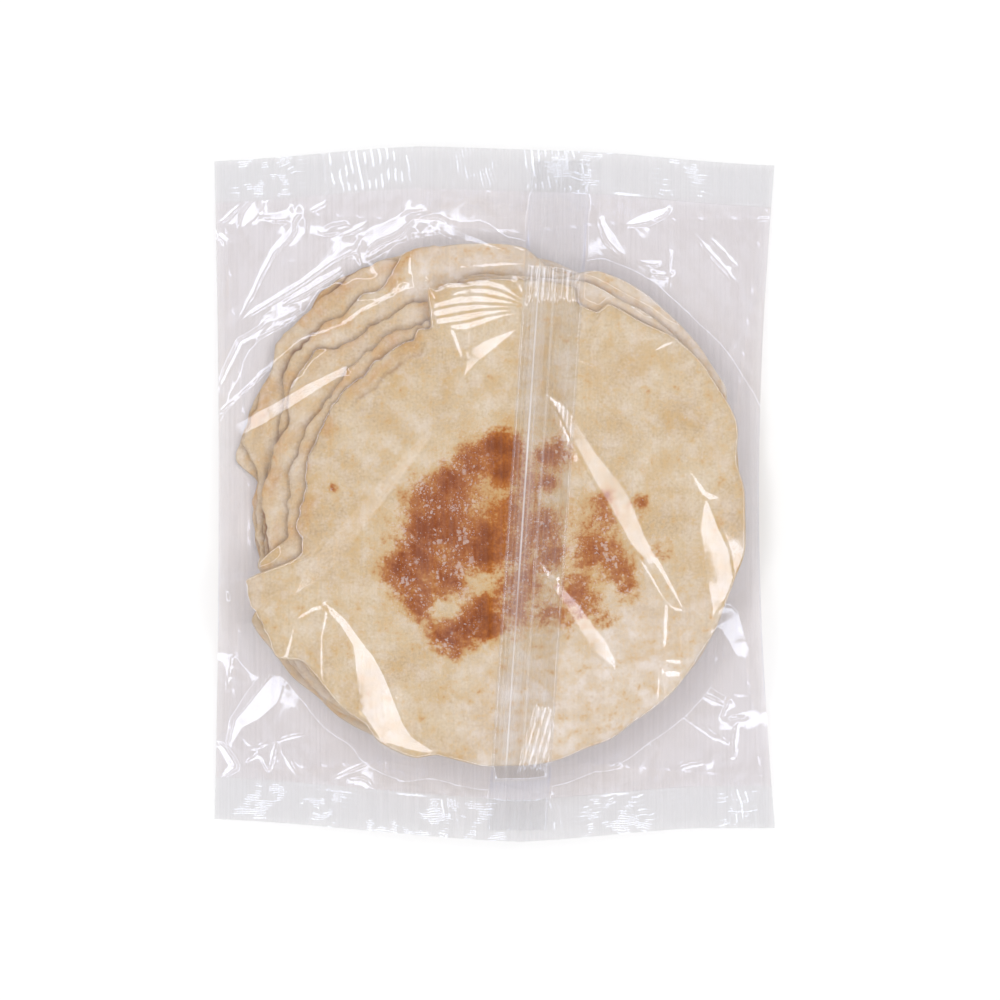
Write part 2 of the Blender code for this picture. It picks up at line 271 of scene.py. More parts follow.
# Flour lies in soft clouds all over, and thickly where a bread is powdered.
flour_veil = node(tree, "ShaderNodeMapRange", (flour_cloud, 0.48, 0.7, 0.0, 0.34)).outputs[0]
flour_cover = node(tree, "ShaderNodeMapRange", (flour_cloud, 0.3, 0.7, 0.26, 0.6)).outputs[0]
flour_share = node(
    tree, "ShaderNodeMath", (powder, flour_cover, flour_veil), operation="MULTIPLY_ADD"
).outputs[0]
cells = node(tree, "ShaderNodeTexVoronoi", {"Vector": object_mm, "Scale": 1 / PORE_MM})
pores = node(
    tree, "ShaderNodeMapRange", (cells.outputs["Distance"], 0.1, 0.22, 0.2, 0.0)
).outputs[0]
# Painted shade: the crust darkens to brown, in soft clouds, where the crease mask is high.
rim_cloud = node(tree, "ShaderNodeMapRange", (clouds, 0.4, 0.6, 0.3, 1.0)).outputs[0]
crease_shade_share = node(tree, "ShaderNodeMath", (painted_crease_shade, rim_cloud), operation="MULTIPLY").outputs[0]

# Toast darkens from gold to brown, redder where flour dusts it than where that is rubbed off.
toast_grain = node(tree, "ShaderNodeMath", (grain, 0.6, -0.3), operation="MULTIPLY_ADD").outputs[0]
toast_rough = node(tree, "ShaderNodeMath", (mottle, toast_grain), operation="ADD").outputs[0]
toast_cloud = node(
    tree, "ShaderNodeMath", (flour_cloud, -0.95, -0.055), operation="MULTIPLY_ADD"
).outputs[0]
toast_noise = node(tree, "ShaderNodeMath", (toast_rough, toast_cloud), operation="ADD").outputs[0]
toast_level = node(tree, "ShaderNodeMath", (toast, toast_noise), operation="ADD").outputs[0]
dusted_toast, rubbed_toast = (
    node(
        tree, "ShaderNodeValToRGB", (toast_level,), stops=list(zip((0.1, 0.3, 0.5, 0.75, 1.0), browns))
    ).outputs[0]
    for browns in (
        ("#DDBB80", "#CF9E5C", "#BD8048", "#A96433", "#904B20"),
        ("#DDBA76", "#D09B44", "#B96D1C", "#9E540C", "#884406"),
    )
)
toast_share = node(tree, "ShaderNodeMapRange", (toast_level, -0.06, 0.5, 0.0, 1.0)).outputs[0]
toast_colour = node(
    tree, "ShaderNodeMix", {0: dusted, 6: rubbed_toast, 7: dusted_toast}, data_type="RGBA"
).outputs[2]

# On the toast the flour shows as ragged specks of two sizes, and as soft clumps.
wander = node(
    tree, "ShaderNodeTexNoise", {"Vector": object_mm, "Scale": 1 / FINE_SPECK_MM, "Detail": 1.0}
).outputs["Color"]
ragged_mm = node(
    tree, "ShaderNodeVectorMath", (wander, (SPECK_WANDER_MM,) * 3, object_mm), operation="MULTIPLY_ADD"
).outputs[0]
coarse, fine, clump = (
    node(tree, "ShaderNodeTexVoronoi", {"Vector": ragged_mm, "Scale": 1 / size}).outputs["Distance"]
    for size in (SPECK_MM, FINE_SPECK_MM, CLUMP_MM)
)
speck_size = node(tree, "ShaderNodeMapRange", (flour_cloud, 0.36, 0.7, 0.08, 0.42)).outputs[0]
coarse_specks, fine_specks = (
    node(tree, "ShaderNodeMath", (distance, speck_size), operation="LESS_THAN").outputs[0]
    for distance in (coarse, fine)
)
clump_size = node(tree, "ShaderNodeMapRange", (flour_cloud, 0.4, 0.62, 0.0, 0.36)).outputs[0]
clump_depth = node(tree, "ShaderNodeMath", (clump_size, clump), operation="SUBTRACT").outputs[0]
flour_marks = node(tree, "ShaderNodeMapRange", (clump_depth, 0.0, 0.16, 0.0, 0.85)).outputs[0]
for marks in (coarse_specks, fine_specks):
    flour_marks = node(tree, "ShaderNodeMath", (flour_marks, marks), operation="MAXIMUM").outputs[0]
dusting = node(tree, "ShaderNodeMath", (toast_share, 0.32, 0.1), operation="MULTIPLY_ADD").outputs[0]
specks = flour_marks
for share in (dusting, dusted):
    specks = node(tree, "ShaderNodeMath", (specks, share), operation="MULTIPLY").outputs[0]

# The crust's colour, each layer laid over the last. The brown crease layer is painted shade.
crust_colour = dough
for share, layer in (
    (golden_share, linear("#D2B079")),
    (flour_share, linear("#F1E9E1")),
    (pores, linear("#C09A68")),
    (crease_shade_share, linear("#8A5A28")),
    (rim_tan, linear("#CE9C5C")),
    (toast_share, toast_colour),
    (specks, linear("#EDE5E2")),
):
    crust_colour = node(
        tree, "ShaderNodeMix", {0: share, 6: crust_colour, 7: layer}, data_type="RGBA"
    ).outputs[2]
relief = node(tree, "ShaderNodeMath", (specks, 0.5, tone), operation="MULTIPLY_ADD").outputs[0]
crust_normal = node(
    tree, "ShaderNodeBump", {"Strength": 0.5, "Distance": 0.3 * MM, "Height": relief}
).outputs[0]
crust = node(
    tree,
    "ShaderNodeBsdfPrincipled",
    {"Base Color": crust_colour, "Roughness": 0.85, "Specular IOR Level": 0.2, "Normal": crust_normal},
)
tree.links.new(crust.outputs[0], output.inputs["Surface"])

# The toasted patch in the middle of the top bread, as rounds of (x, y, radius, how dark).
TOAST = (
    (0, 16, 6, 0.95), (6, 16, 5, 0.8), (-8, 11, 6, 0.8), (-14, 5, 6, 0.9), (2, 7, 5, 0.9),
    (-23, 0, 6, 0.8), (-13, -4, 7, 0.75), (-23, -11, 8, 0.95), (-13, -15, 7, 0.8), (-3, -15, 6, 0.9),
    (-5, -22, 6, 0.85), (-26, -20, 7, 0.95), (-17, -26, 6, 0.6), (-31, -29, 6, 0.9),
    (-14, -30, 5, 0.85), (-25, -37, 6, 0.95), (-33, -25, 5, 0.7), (-4, -39, 6, 0.9),
    (-9, -45, 6, 0.95), (-17, -48, 6, 0.95), (-2, -45, 5, 0.8), (-14, -53, 3, 0.8), (4, -6, 6, 0.6),
    (5, -20, 6, 0.6), (11, 2, 6, 0.5), (12, -12, 6, 0.5), (12, -28, 6, 0.5), (18, 4, 3, 0.8),
    (22, 15, 6, 0.6), (17, 12, 6, 0.5), (17, -10, 4, 0.75), (19, -20, 6, 0.7), (37, -1, 4, 0.5),
    (49, -3, 3, 0.7), (38, -8, 5, 0.55), (37, -19, 6, 0.7), (31, -20, 5, 0.5), (42, -26, 6, 0.65),
    (45, -32, 4, 0.5), (55, -19, 4, 0.4), (28, -33, 6, 0.7), (31, -38, 5, 0.5), (37, -42, 4, 0.4),
    (24, -43, 4, 0.5), (6, -33, 6, 0.55), (8, -42, 6, 0.55), (18, -40, 5, 0.55), (26, -10, 12, 0.25),
    (-12, -14, 26, 0.2), (-55, 2, 1.6, 0.7), (-60, 28, 1.2, 0.4),
)
# Pale rounds in it, as (x, y, radius).
PALE = ((-5, -30, 4), (-18, -40, 4), (-14, -38, 3))


def toast_at(x, y):
    """How toasted the middle of a bread is there, from 0 to 1."""
    plain = np.ones_like(x)
    for cx, cy, radius, dark in TOAST:
        plain = plain * (1.0 - dark * np.exp(-((x - cx) ** 2 + (y - cy) ** 2) / radius**2))
    total = 1.0 - plain
    for cx, cy, radius in PALE:
        total = total * (1.0 - 0.8 * np.exp(-((x - cx) ** 2 + (y - cy) ** 2) / radius**2))
    return total


def paint(piece, name, value):
    """Stores a number for each point of a piece, which its material reads by that name."""
    stored = piece.data.attributes.new(name, "FLOAT", "POINT")
    stored.data.foreach_set("value", np.ravel(value).astype(np.float32))


def rounding(radius, inset):
    """How far a rounded edge is from its flat side, that far in from the edge."""
    return radius * (1.0 - math.sqrt(1.0 - max(0.0, 1.0 - inset / radius) ** 2))


for level, bread in enumerate(BREADS):
    top_one = level == len(BREADS) - 1
    middle_x, middle_y = bread["middle"]
    degrees = np.arange(DIRECTIONS) * 360.0 / DIRECTIONS
    turn = np.radians(degrees)
    edge = reach(bread, degrees)
    rim_x = edge * np.cos(turn)
    rim_y = edge * np.sin(turn)
    base = BASE_GAP + THICKNESS * level
    droop = 0.9 + 0.5 * bumps(rim_x, rim_y, 14.0, 40 + level)
    lift = 1.0 + 0.4 * bumps(rim_x, rim_y, 17.0, 50 + level)
    lip = 0.45 + 0.3 * bumps(rim_x, rim_y, 9.0, 60 + level)
    if top_one:
        lip = lip * (1.0 + 0.8 * between(degrees, 112.0, 142.0, 8.0))
    rough_rim = between(degrees, 95.0, 205.0, 15.0)

    # Rings of (reach, height): the underside, the rim's nose, and the top inwards from there.
    rings = []
    for inset in UNDER_INSETS:
        curl = rounding(LOW_ROUNDING, inset)
        rings.append((edge - inset, base + lift * math.exp(-inset / 4.0) + curl))
    nose = base + 0.5 * (lift + LOW_ROUNDING + THICKNESS - droop - TOP_ROUNDING)
    rings.append((edge, nose))
    top_rings = [(edge - inset, inset) for inset in RIM_INSETS]
    if top_one:
        shares = 1.0 - np.arange(1, MIDDLE_RINGS) / MIDDLE_RINGS
        top_rings += [((edge - RIM_INSETS[-1]) * share, FAR_IN) for share in shares]
    else:
        top_rings += [(edge - inset, inset) for inset in HIDDEN_INSETS]
    for far, inset in top_rings:
        x = middle_x + far * np.cos(turn)
        y = middle_y + far * np.sin(turn)
        relief = 0.2 * bumps(x, y, 21.0, 70 + level) + 0.1 * bumps(x, y, 7.5, 80 + level)
        relief += 0.05 * bumps(x, y, 2.6, 90 + level) + 0.03 * bumps(x, y, 1.1, 95 + level)
        relief += 0.22 * rough_rim * math.exp(-inset / 7.0) * bumps(x, y, 3.1, 99 + level)
        groove = math.exp(-(((inset - 2.2) / 1.5) ** 2)) - 0.7 * math.exp(-(((inset - 5.2) / 1.6) ** 2))
        sunk = droop * math.exp(-inset / 6.0) + rounding(TOP_ROUNDING, inset)
        rings.append((far, base + THICKNESS - 0.35 + relief - sunk + lip * groove))
    points = np.concatenate(
        [
            np.stack([middle_x + far * np.cos(turn), middle_y + far * np.sin(turn), top + 0 * turn], 1)
            for far, top in rings
        ]
    )
    faces = ring_faces(len(rings), DIRECTIONS)
    last = (len(rings) - 1) * DIRECTIONS
    faces.append(list(range(DIRECTIONS))[::-1])
    faces.append(list(range(last, last + DIRECTIONS)))
    made = mesh_object(f"pita_{level + 1}", points, faces, bread_crust)

    # The crust is darkened brown as painted shade in the crease under the bread above and in a
    # line inside the top bread's rolled lip, and near its own rim as part toasting, part painted
    # shade. The torn rims are baked to a tan.
    x, y = points[:, 0], points[:, 1]
    inset = -past_edge(bread, x, y)
    around = np.degrees(np.arctan2(y - middle_y, x - middle_x)) % 360.0
    crease_shade = 0.4 * np.exp(-np.maximum(inset, 0) / 1.6) * (0.5 + 0.5 * bumps(x, y, 11.0, 30 + level))
    if not top_one:
        # Painted shade in the crease under the bread above.
        beyond = np.maximum(past_edge(BREADS[level + 1], x, y), 0)
        crease_shade += np.exp(-((beyond / 1.2) ** 1.3)) * (0.75 + 0.35 * bumps(x, y, 13.0, 20 + level))
    crease_shade = crease_shade * (0.4 + 0.6 * between(around, 95.0, 205.0, 20.0))
    tan = np.exp(-((np.maximum(inset - 2.5, 0) / 2.0) ** 2)) * between(around, 105.0, 195.0, 16.0)
    tan = tan * ease(1.6 * bumps(x, y, 8.0, 110 + level) + 0.3) * (0.6 + 0.4 * bumps(x, y, 1.8, 115))
    powder = 0.9 * (1.0 - between(around, 112.0, 320.0, 24.0))
    if top_one:
        lipped = between(around, 113.0, 141.0, 6.0)
        crest = 0.8 * lipped * np.exp(-(((inset - 2.6) / 1.5) ** 2))
        tan = np.maximum(tan, crest * (0.7 + 0.3 * bumps(x, y, 3.0, 116)))
        # Painted shadow line inside the top bread's rolled lip.
        crease_shade = np.maximum(crease_shade, 0.75 * lipped * np.exp(-(((inset - 5.4) / 0.8) ** 2)))
        powder = between(around, 262.0, 335.0, 30.0) * ease((np.hypot(x, y + 10.0) - 36.0) / 24.0)
    strip = (x - 2.1 - 0.1 * y) / (5.0 + 3.0 * ease(y / 10.0))
    rubbed = np.exp(-(strip**2)) * between(y, -52.0, 24.0, 8.0)
    paint(made, "painted_crease_shade", np.clip(crease_shade, 0, 1))
    paint(made, "rim_tan", 0.75 * np.clip(tan, 0, 1))
    paint(made, "toast", toast_at(x, y))
    paint(made, "dusted", 1.0 - rubbed)
    paint(made, "powder", powder)

# The bag's back film
# One sheet of clear oriented polypropylene, the side of the bag that lies uppermost. Its two
# long edges meet under the seam, so it is made as a left and a right panel. It lies slack on
# the breads, and is creased where it was pulled over their rims and towards the seals.

CORNER_X = 95.7
SIDE_DRAW = {"left": 1.7, "right": 5.9}
TOP_EDGE = ((-95.7, 113.4), (-26.0, 118.3), (25.0, 116.8), (95.7, 111.9))
BOTTOM_EDGE = ((-95.7, -110.7), (8.0, -118.3), (70.0, -113.8), (95.7, -113.8))
BAG_END = 118.3
FILM = 0.8
SIDE_Z = 6.5
END_Z = 8.0
CORNER_Z = 3.0
UNDER_SLOPE = 0.55
SEAL_WIDTH = 14.3
FIN_WIDTH = 20.4
FIN_MIDDLE_X = 15.1
FIN_LEAN = 0.067
FIN_POWER = 1.5
FIN_END = 0.64
FIN_LIFT = 0.5
FIN_REACH = 5.0
CLEAR = 0.2
COLUMNS = 380
ROWS = 418

# A face of the film that leans this much shows the lamps. Slopes between the two limits are
# kept for the creases: elsewhere the film lies flatter or falls away more steeply.
GLARE_SLOPE = 0.265
FLAT_LIMIT = 0.08
STEEP_LIMIT = 0.36
SLACK_MM = 16.0
TAUT_MM = 7.0
SKIRT_SLOPE = 1.7
SPANNING_SLOPE = 0.46
APRON_SLOPE = 0.03
BRIDGE_SIDES = 0.9
BACK_SLOPE = 0.8

# The creases of the film, each a line of (x, y, width of the leaning face), from one place to
# the next: over the breads, at the seam, across the rims, and in the four corners.
CREASES = (
    # On the top bread, right of the seam.
    ((17.7, 33.5, 0.8), (21.5, 30, 3.2), (25, 25.2, 4.6), (32.3, 12.2, 6), (37.5, 4.5, 7.6),
     (41.8, -1.7, 8.2), (48.1, -15.1, 6.6), (52.2, -21.5, 4.6)),
    ((49.5, -22, 1.7), (54.5, -31, 1.4), (58.5, -37.5, 1)),
    ((54.5, -22, 1.7), (60, -32, 1.4), (64, -39.5, 1)),
    ((58, -37, 1), (61, -39, 1.4), (64, -39.5, 1)),
    ((58, -38, 1.7), (57.5, -51.5, 1.4)),
    ((63, -45, 1), (63, -52.5, 1)),
    ((20.5, -30.5, 3), (25.5, -37, 4.8), (31, -45, 5.8), (35.5, -51.5, 6.5), (39.5, -56.5, 3.7),
     (41, -60, 0.7)),
    # At the right rim.
    ((71.5, -1.5, 1.4), (72.5, -11.5, 6.5), (75, -20, 9.5), (76.3, -28, 9.5), (76.8, -36, 7.8),
     (74.6, -49, 0.8)),
    ((66, 8, 0.7), (71, 0, 2.4), (75, -1, 1)),
    ((24.2, 12, 0.8), (26.6, 12.4, 0.8)),
    # On the top bread, low on the left.
    ((-66.5, -42, 1.4), (-61.5, -39, 2), (-57, -38, 2.4)),
    ((-57, -38, 2.2), (-51.5, -43.5, 2.9), (-46.8, -50.5, 3.6), (-44, -57, 7.8), (-42, -63.5, 10.5),
     (-40, -71.5, 12.6), (-35.5, -80, 10.2), (-29, -84.5, 4.4), (-20.5, -88, 1.4)),
    ((-57, -40, 1.4), (-59, -49.5, 1.4), (-58.5, -63, 1.4), (-58, -70, 0.7)),
    # At the rims on the upper right.
    ((48.5, 60, 1.4), (56, 61.5, 1)),
    ((55, 49, 1.4), (60, 51.5, 1.4)),
    ((28, 45.5, 1.4), (33.5, 43, 1)),
    # The fan beside the seam, and what runs out of it.
    ((-19, 69.9, 1.8), (-8.5, 71.4, 2.6), (-3.4, 71.6, 2.8), (2.7, 70, 2.4), (8.8, 65.8, 1.2)),
    ((-14, 67.3, 1.2), (-8.5, 68.7, 2.8), (-3.4, 68.8, 2.8), (3, 67.3, 2.2), (8.8, 64.9, 1.1)),
    ((-19.5, 64, 1.8), (-12, 65.7, 3.2), (-5, 66.1, 2.8), (3, 65.1, 1.8), (8.6, 64, 1)),
    ((-19.8, 61.2, 2.8), (-12, 62.6, 3.2), (-4.5, 63.5, 2.6), (3, 63.5, 1.4), (8.5, 63.2, 0.9)),
    ((-18.5, 58.6, 2.6), (-11.5, 59.6, 3.2), (-4, 61.1, 2.6), (3, 62.1, 1.4), (8.3, 62.4, 0.9)),
    ((-14, 56.6, 2.4), (-9, 57, 3), (-3, 59, 2.4), (3, 60.7, 1.3), (8.1, 61.6, 0.8)),
    ((-14.5, 55.1, 1.8), (-13.2, 51.7, 1.7), (-11.2, 46.6, 2), (-10.2, 46.6, 1.4)),
    ((-8.9, 54.7, 1), (-8.9, 51.3, 1), (-9.9, 47.4, 0.8)),
    ((4.5, 74, 2), (7.5, 73, 3.4), (9, 68.5, 1.4)),
    ((-22.5, 69.5, 2), (-20.5, 66.5, 1.7)),
    ((-11.5, 77, 1.7), (-5, 77.5, 2), (3.5, 78, 2), (9.5, 78, 1.4)),
    ((-10, 83.5, 1.4), (-10, 78.5, 1.7)),
    # Over the rims on the upper left, and in the bag's upper left corner.
    ((-95, 27, 1.4), (-79, 42, 1.7), (-66.5, 52.5, 1.7), (-52.5, 57.5, 1.7), (-46, 62, 2),
     (-35.5, 68, 2), (-28.5, 71, 2.4), (-22.5, 73, 2), (-19.5, 76, 1.7), (-18.5, 82.5, 1.4)),
    ((-95, 34, 1.7), (-86.5, 51.5, 2), (-79, 55.5, 2.4), (-69, 60, 1.7)),
    ((-78.5, 58, 1.4), (-73.5, 62, 5.1), (-68.5, 63, 2.7)),
    ((-29, 79.5, 1.7), (-29, 75.5, 2)),
    ((-33.5, 73, 1), (-33, 70, 1.7)),
    ((-39, 76, 1.4), (-33.5, 76, 1.4)),
    ((-92.5, 93.5, 1.4), (-87, 99, 1.7), (-83.5, 103, 1.7), (-79, 105, 1.7)),
    ((-86.5, 91, 1.4), (-83.5, 95, 4.8), (-80.5, 98.5, 4.1), (-79, 100, 1.4)),
    ((-78.5, 94, 1), (-74, 94.5, 3.1), (-69.5, 95.5, 4.8)),
    ((-69, 98.5, 1.4), (-69.5, 90, 2.4), (-71.5, 87, 2.4), (-76, 82.5, 2), (-79.5, 75.5, 1.7),
     (-83.5, 67, 1.4), (-86.5, 61, 1)),
    ((-85.5, 60, 1), (-78.5, 64.5, 1.7), (-65.5, 72.5, 1.7), (-56, 79.5, 1.7), (-49.5, 83, 2),
     (-44.5, 82.5, 1.7)),
    ((-79, 61.5, 1), (-65.5, 69, 2.4), (-53.5, 76, 1.7)),
    ((-93.5, 88.5, 2.4), (-91.5, 86.5, 2.4), (-91.5, 84, 0.7)),
    ((-65, 93.5, 1.4), (-64.5, 89.5, 1)),
    ((-62, 97, 1.4), (-58.5, 99, 1.7)),
    ((-59, 89, 1.4), (-55.5, 90, 2.7), (-50.5, 91, 1.7)),
    ((-51, 88.5, 1), (-48, 90.5, 2.4), (-44.5, 92, 1.4)),
    ((-45, 79.5, 2), (-45, 84.5, 3.4), (-41, 88.5, 5.1), (-35, 91, 5.1), (-29.5, 94, 3.1),
     (-25, 95.5, 1.4)),
    ((-43, 80.5, 1), (-35.5, 85.5, 1.4), (-27, 88.5, 1.7), (-20, 90, 2)),
    ((-26.5, 93.5, 1), (-20, 92.5, 3.1), (-15.5, 90, 3.4), (-9, 87, 2.4), (-0.5, 84, 1.7),
     (10, 80.5, 1)),
    # In the upper right corner.
    ((46, 92, 1.7), (51.5, 94, 3.7), (57, 96, 2.7)),
    ((50, 79, 1.2), (54.5, 78.5, 2)),
    ((54.5, 75, 1.7), (59, 75, 2)),
    ((59, 82.5, 1), (59, 71, 1)),
    ((36.5, 92, 2), (39.5, 87, 3.4), (42.5, 82.5, 1.4)),
    ((68.5, 88, 1), (75, 80.5, 1.4), (81.5, 73, 1)),
    ((74, 86.5, 1.4), (78, 82.5, 1), (81.5, 78.5, 1.4)),
    ((90, 93, 1.4), (94, 93, 2)),
    # In the lower right corner.
    ((70.5, -58.5, 1.7), (74, -57.5, 2.7), (76.5, -56, 1)),
    ((70.5, -68.5, 0.7), (74, -71, 2.4), (78.5, -72, 0.7)),
    ((88, -60, 0.7), (87, -64.5, 3.4), (91, -70, 0.7)),
    ((85.5, -66.5, 3.7), (81, -71.5, 3.7), (78.5, -75, 1.7)),
    ((80.5, -76, 1.7), (84.5, -76, 1)),
    ((60, -72, 1), (66.5, -77.5, 1), (74, -83, 1.4), (79.5, -84.5, 0.7)),
    ((73.5, -79.5, 1), (79.5, -84.5, 1)),
    ((82.5, -79.5, 1.4), (81, -89, 1)),
    ((54.5, -75.5, 1), (55, -78.5, 1.7), (56, -83, 0.7)),
    ((47.5, -85, 1), (51, -84.5, 1.7), (54.5, -85.5, 0.7)),
    ((32.5, -91, 3.7), (36.5, -92, 2.7), (42, -92, 1)),
    ((58.5, -56.5, 1.4), (62, -57, 2.4)),
    ((58.5, -61, 2.7), (62, -61, 2.4)),
    ((56, -58, 0.7), (55, -69, 1.4)),
    ((56, -58, 0.7), (58, -68.5, 1)),
    ((64.5, -93, 1.4), (70.5, -92, 1.4)),
    # In the lower left corner.
    ((-68, -44.5, 1), (-70.5, -54.5, 2), (-73.5, -62, 5), (-77, -68.5, 8), (-81.5, -73.5, 7),
     (-87, -78, 4.1), (-90, -84.5, 1.4)),
    ((-93, -86.5, 2.4), (-89.5, -92.5, 3.1), (-92.5, -95.5, 1.7)),
    ((-80.5, -87, 1), (-77, -93, 1.7), (-74.5, -84, 1)),
    ((-75, -84.5, 0.7), (-69.5, -83, 1.4), (-63.5, -81.5, 0.7)),
    ((-85, -83.5, 0.8), (-81.5, -86, 1.7), (-78, -84.5, 0.8)),
    ((-84, -91, 0.8), (-80.5, -89, 1.5), (-77.5, -91.5, 0.8)),
    ((-72.5, -87.5, 0.8), (-70, -92.5, 1.7), (-67.5, -95.5, 0.8)),
    ((-49, -97.5, 1), (-45.5, -98.5, 3.1), (-43, -99.5, 1.7)),
    ((-54, -96, 1), (-48.5, -93, 1.7), (-43, -91, 1)),
    ((-31.5, -96.5, 1.4), (-26, -90, 1.4)),
    ((-21, -88, 1), (-16.5, -89, 1.7)),
    ((-91, -32.5, 0.7), (-89.5, -49.5, 1.4), (-91.5, -66.5, 0.7)),
)

# Some wide faces lean a little less. They catch only the soft inner edge of the ring of light.
SOFT_SLOPE = 0.2195
SOFT_CREASES = (
    ((15.5, -23.5, 1.4), (20.5, -30.5, 3.4)),
    ((7.6, 55.9, 0.8), (-1, 51, 4.6), (-7, 47, 6), (-10.4, 40, 0.8)),
)
SOFTENED = (CREASES[0], CREASES[6])
FAINT_SLOPE = 0.203
FAINT_CREASES = (
    ((-23, 19.5, 3), (-28, 13.7, 4.6), (-43, -4.9, 6.5), (-57.4, -22.1, 7.6), (-63, -28.3, 6),
     (-68, -34, 0.8)),
)

# Two of the creases are taut and bridge from the stack to the bag's side: (x, y, z, width).
BRIDGES = (
    ((-51, 42, 19.75, 3), (-62, 36, 16.75, 4.4), (-79, 26, 11.9, 5.4), (-94.5, 18, 7.5, 5.6)),
    ((79, -42.5, 20.9, 8.4), (83.4, -52.5, 18.1, 5.5), (87.4, -59.5, 16, 0.9)),
)
BRIDGE_HOLD = 0.6

# How firmly the film keeps to its lean on a face, behind it and on a bridge. It is 1 elsewhere.
FACE_FIRM = 14.0
BACK_FIRM = 5.0
BRIDGE_FIRM = 20.0


def end_y(knots, x):
    """The y of an end of the bag at x, eased from knot to knot."""
    xs, ys = np.array(knots).T
    first = np.clip(np.searchsorted(xs, x) - 1, 0, len(xs) - 2)
    share = np.clip((x - xs[first]) / (xs[first + 1] - xs[first]), 0.0, 1.0)
    return ys[first] + (ys[first + 1] - ys[first]) * (0.5 * share + 0.5 * ease(share))


def side_x(side, y):
    """The x of the bag's left or right fold at y."""
    draw = SIDE_DRAW[side] * np.cos(0.5 * math.pi * np.minimum(np.abs(y) / BAG_END, 1.0))
    return (CORNER_X - draw) * (1.0 if side == "right" else -1.0)


def hang(x, y):
    """The height at which the film's edge hangs, lowest at the bag's four corners."""
    across = ease(np.abs(x) / CORNER_X)
    along = ease(np.abs(y) / BAG_END)
    return CORNER_Z + (SIDE_Z - CORNER_Z) * (1 - along) + (END_Z - CORNER_Z) * (1 - across)


# The top bread's middle, and how far rims and the bag's edge lie from it in each direction.
MIDDLE_X, MIDDLE_Y = BREADS[-1]["middle"]
TURNS = np.linspace(-math.pi, math.pi, 1441)


def far_rim(bread):
    """How far a bread's rim lies from the top bread's middle in each direction."""
    far = np.full(TURNS.shape, bread["radius"])
    for _ in range(4):
        far -= past_edge(bread, MIDDLE_X + far * np.cos(TURNS), MIDDLE_Y + far * np.sin(TURNS))
    return far


rim_far = far_rim(BREADS[-1])
low_far = far_rim(BREADS[0])
bag_far = np.full(TURNS.shape, CORNER_X)
for _ in range(12):
    x = MIDDLE_X + bag_far * np.cos(TURNS)
    y = MIDDLE_Y + bag_far * np.sin(TURNS)
    wall_x = np.where(np.cos(TURNS) > 0, side_x("right", y), side_x("left", y))
    top_wall = end_y(TOP_EDGE, x) - SEAL_WIDTH
    wall_y = np.where(np.sin(TURNS) > 0, top_wall, end_y(BOTTOM_EDGE, x) + SEAL_WIDTH)
    to_side = np.abs(wall_x - MIDDLE_X) / np.maximum(np.abs(np.cos(TURNS)), 1e-6)
    to_end = np.abs(wall_y - MIDDLE_Y) / np.maximum(np.abs(np.sin(TURNS)), 1e-6)
    bag_far = 0.5 * (bag_far + np.minimum(to_side, to_end))


def share_out(start_far, x, y, extra=0.0):
    """How far a point is from a rim, at 0, to the bag's edge, at 1."""
    turn = np.arctan2(y - MIDDLE_Y, x - MIDDLE_X)
    start = np.interp(turn, TURNS, start_far) + extra
    stop = np.interp(turn, TURNS, bag_far)
    far = np.hypot(x - MIDDLE_X, y - MIDDLE_Y)
    return np.clip((far - start) / np.maximum(stop - start, 1.0), 0.0, 1.0)


def edge_height(x, y):
    """The height of the bag's edge in the direction of that point."""
    turn = np.arctan2(y - MIDDLE_Y, x - MIDDLE_X)
    stop = np.interp(turn, TURNS, bag_far)
    return hang(MIDDLE_X + stop * np.cos(turn), MIDDLE_Y + stop * np.sin(turn))


def edge_gap(x, y):
    """How far it is from a point to the bag's edge, away from the stack's middle."""
    stop = np.interp(np.arctan2(y - MIDDLE_Y, x - MIDDLE_X), TURNS, bag_far)
    return np.maximum(stop - np.hypot(x - MIDDLE_X, y - MIDDLE_Y), 0.0)


def under_height(x, y):
    """The height of the bag's underside, flat on the table and then rising to the bag's edge."""
    high = edge_height(x, y) - FILM
    width = np.interp(np.arctan2(y - MIDDLE_Y, x - MIDDLE_X), TURNS, bag_far - low_far)
    fall = np.maximum(high, UNDER_SLOPE * width)
    return np.maximum(high - fall * (1.0 - share_out(low_far, x, y)), 0.0)


def fin_height(x, y):
    """The height of the stiff fin seam, which bridges from the stack to the end seals."""
    low = hang(x, y)
    share = share_out(rim_far, x, y, FIN_REACH)
    bridge = np.maximum((1.0 - share) ** FIN_POWER, FIN_END * (1.0 - share))
    return low + (STACK_TOP - low) * bridge + FIN_LIFT * (1.0 - share**4)


def fin_offset(x, y):
    """How far a point is to the right of the fin seam's middle line."""
    return x - FIN_MIDDLE_X - FIN_LEAN * y


# The rows and columns of the film's grid bow by less than this.
ROW_BOW = 9.0
COLUMN_BOW = 6.0


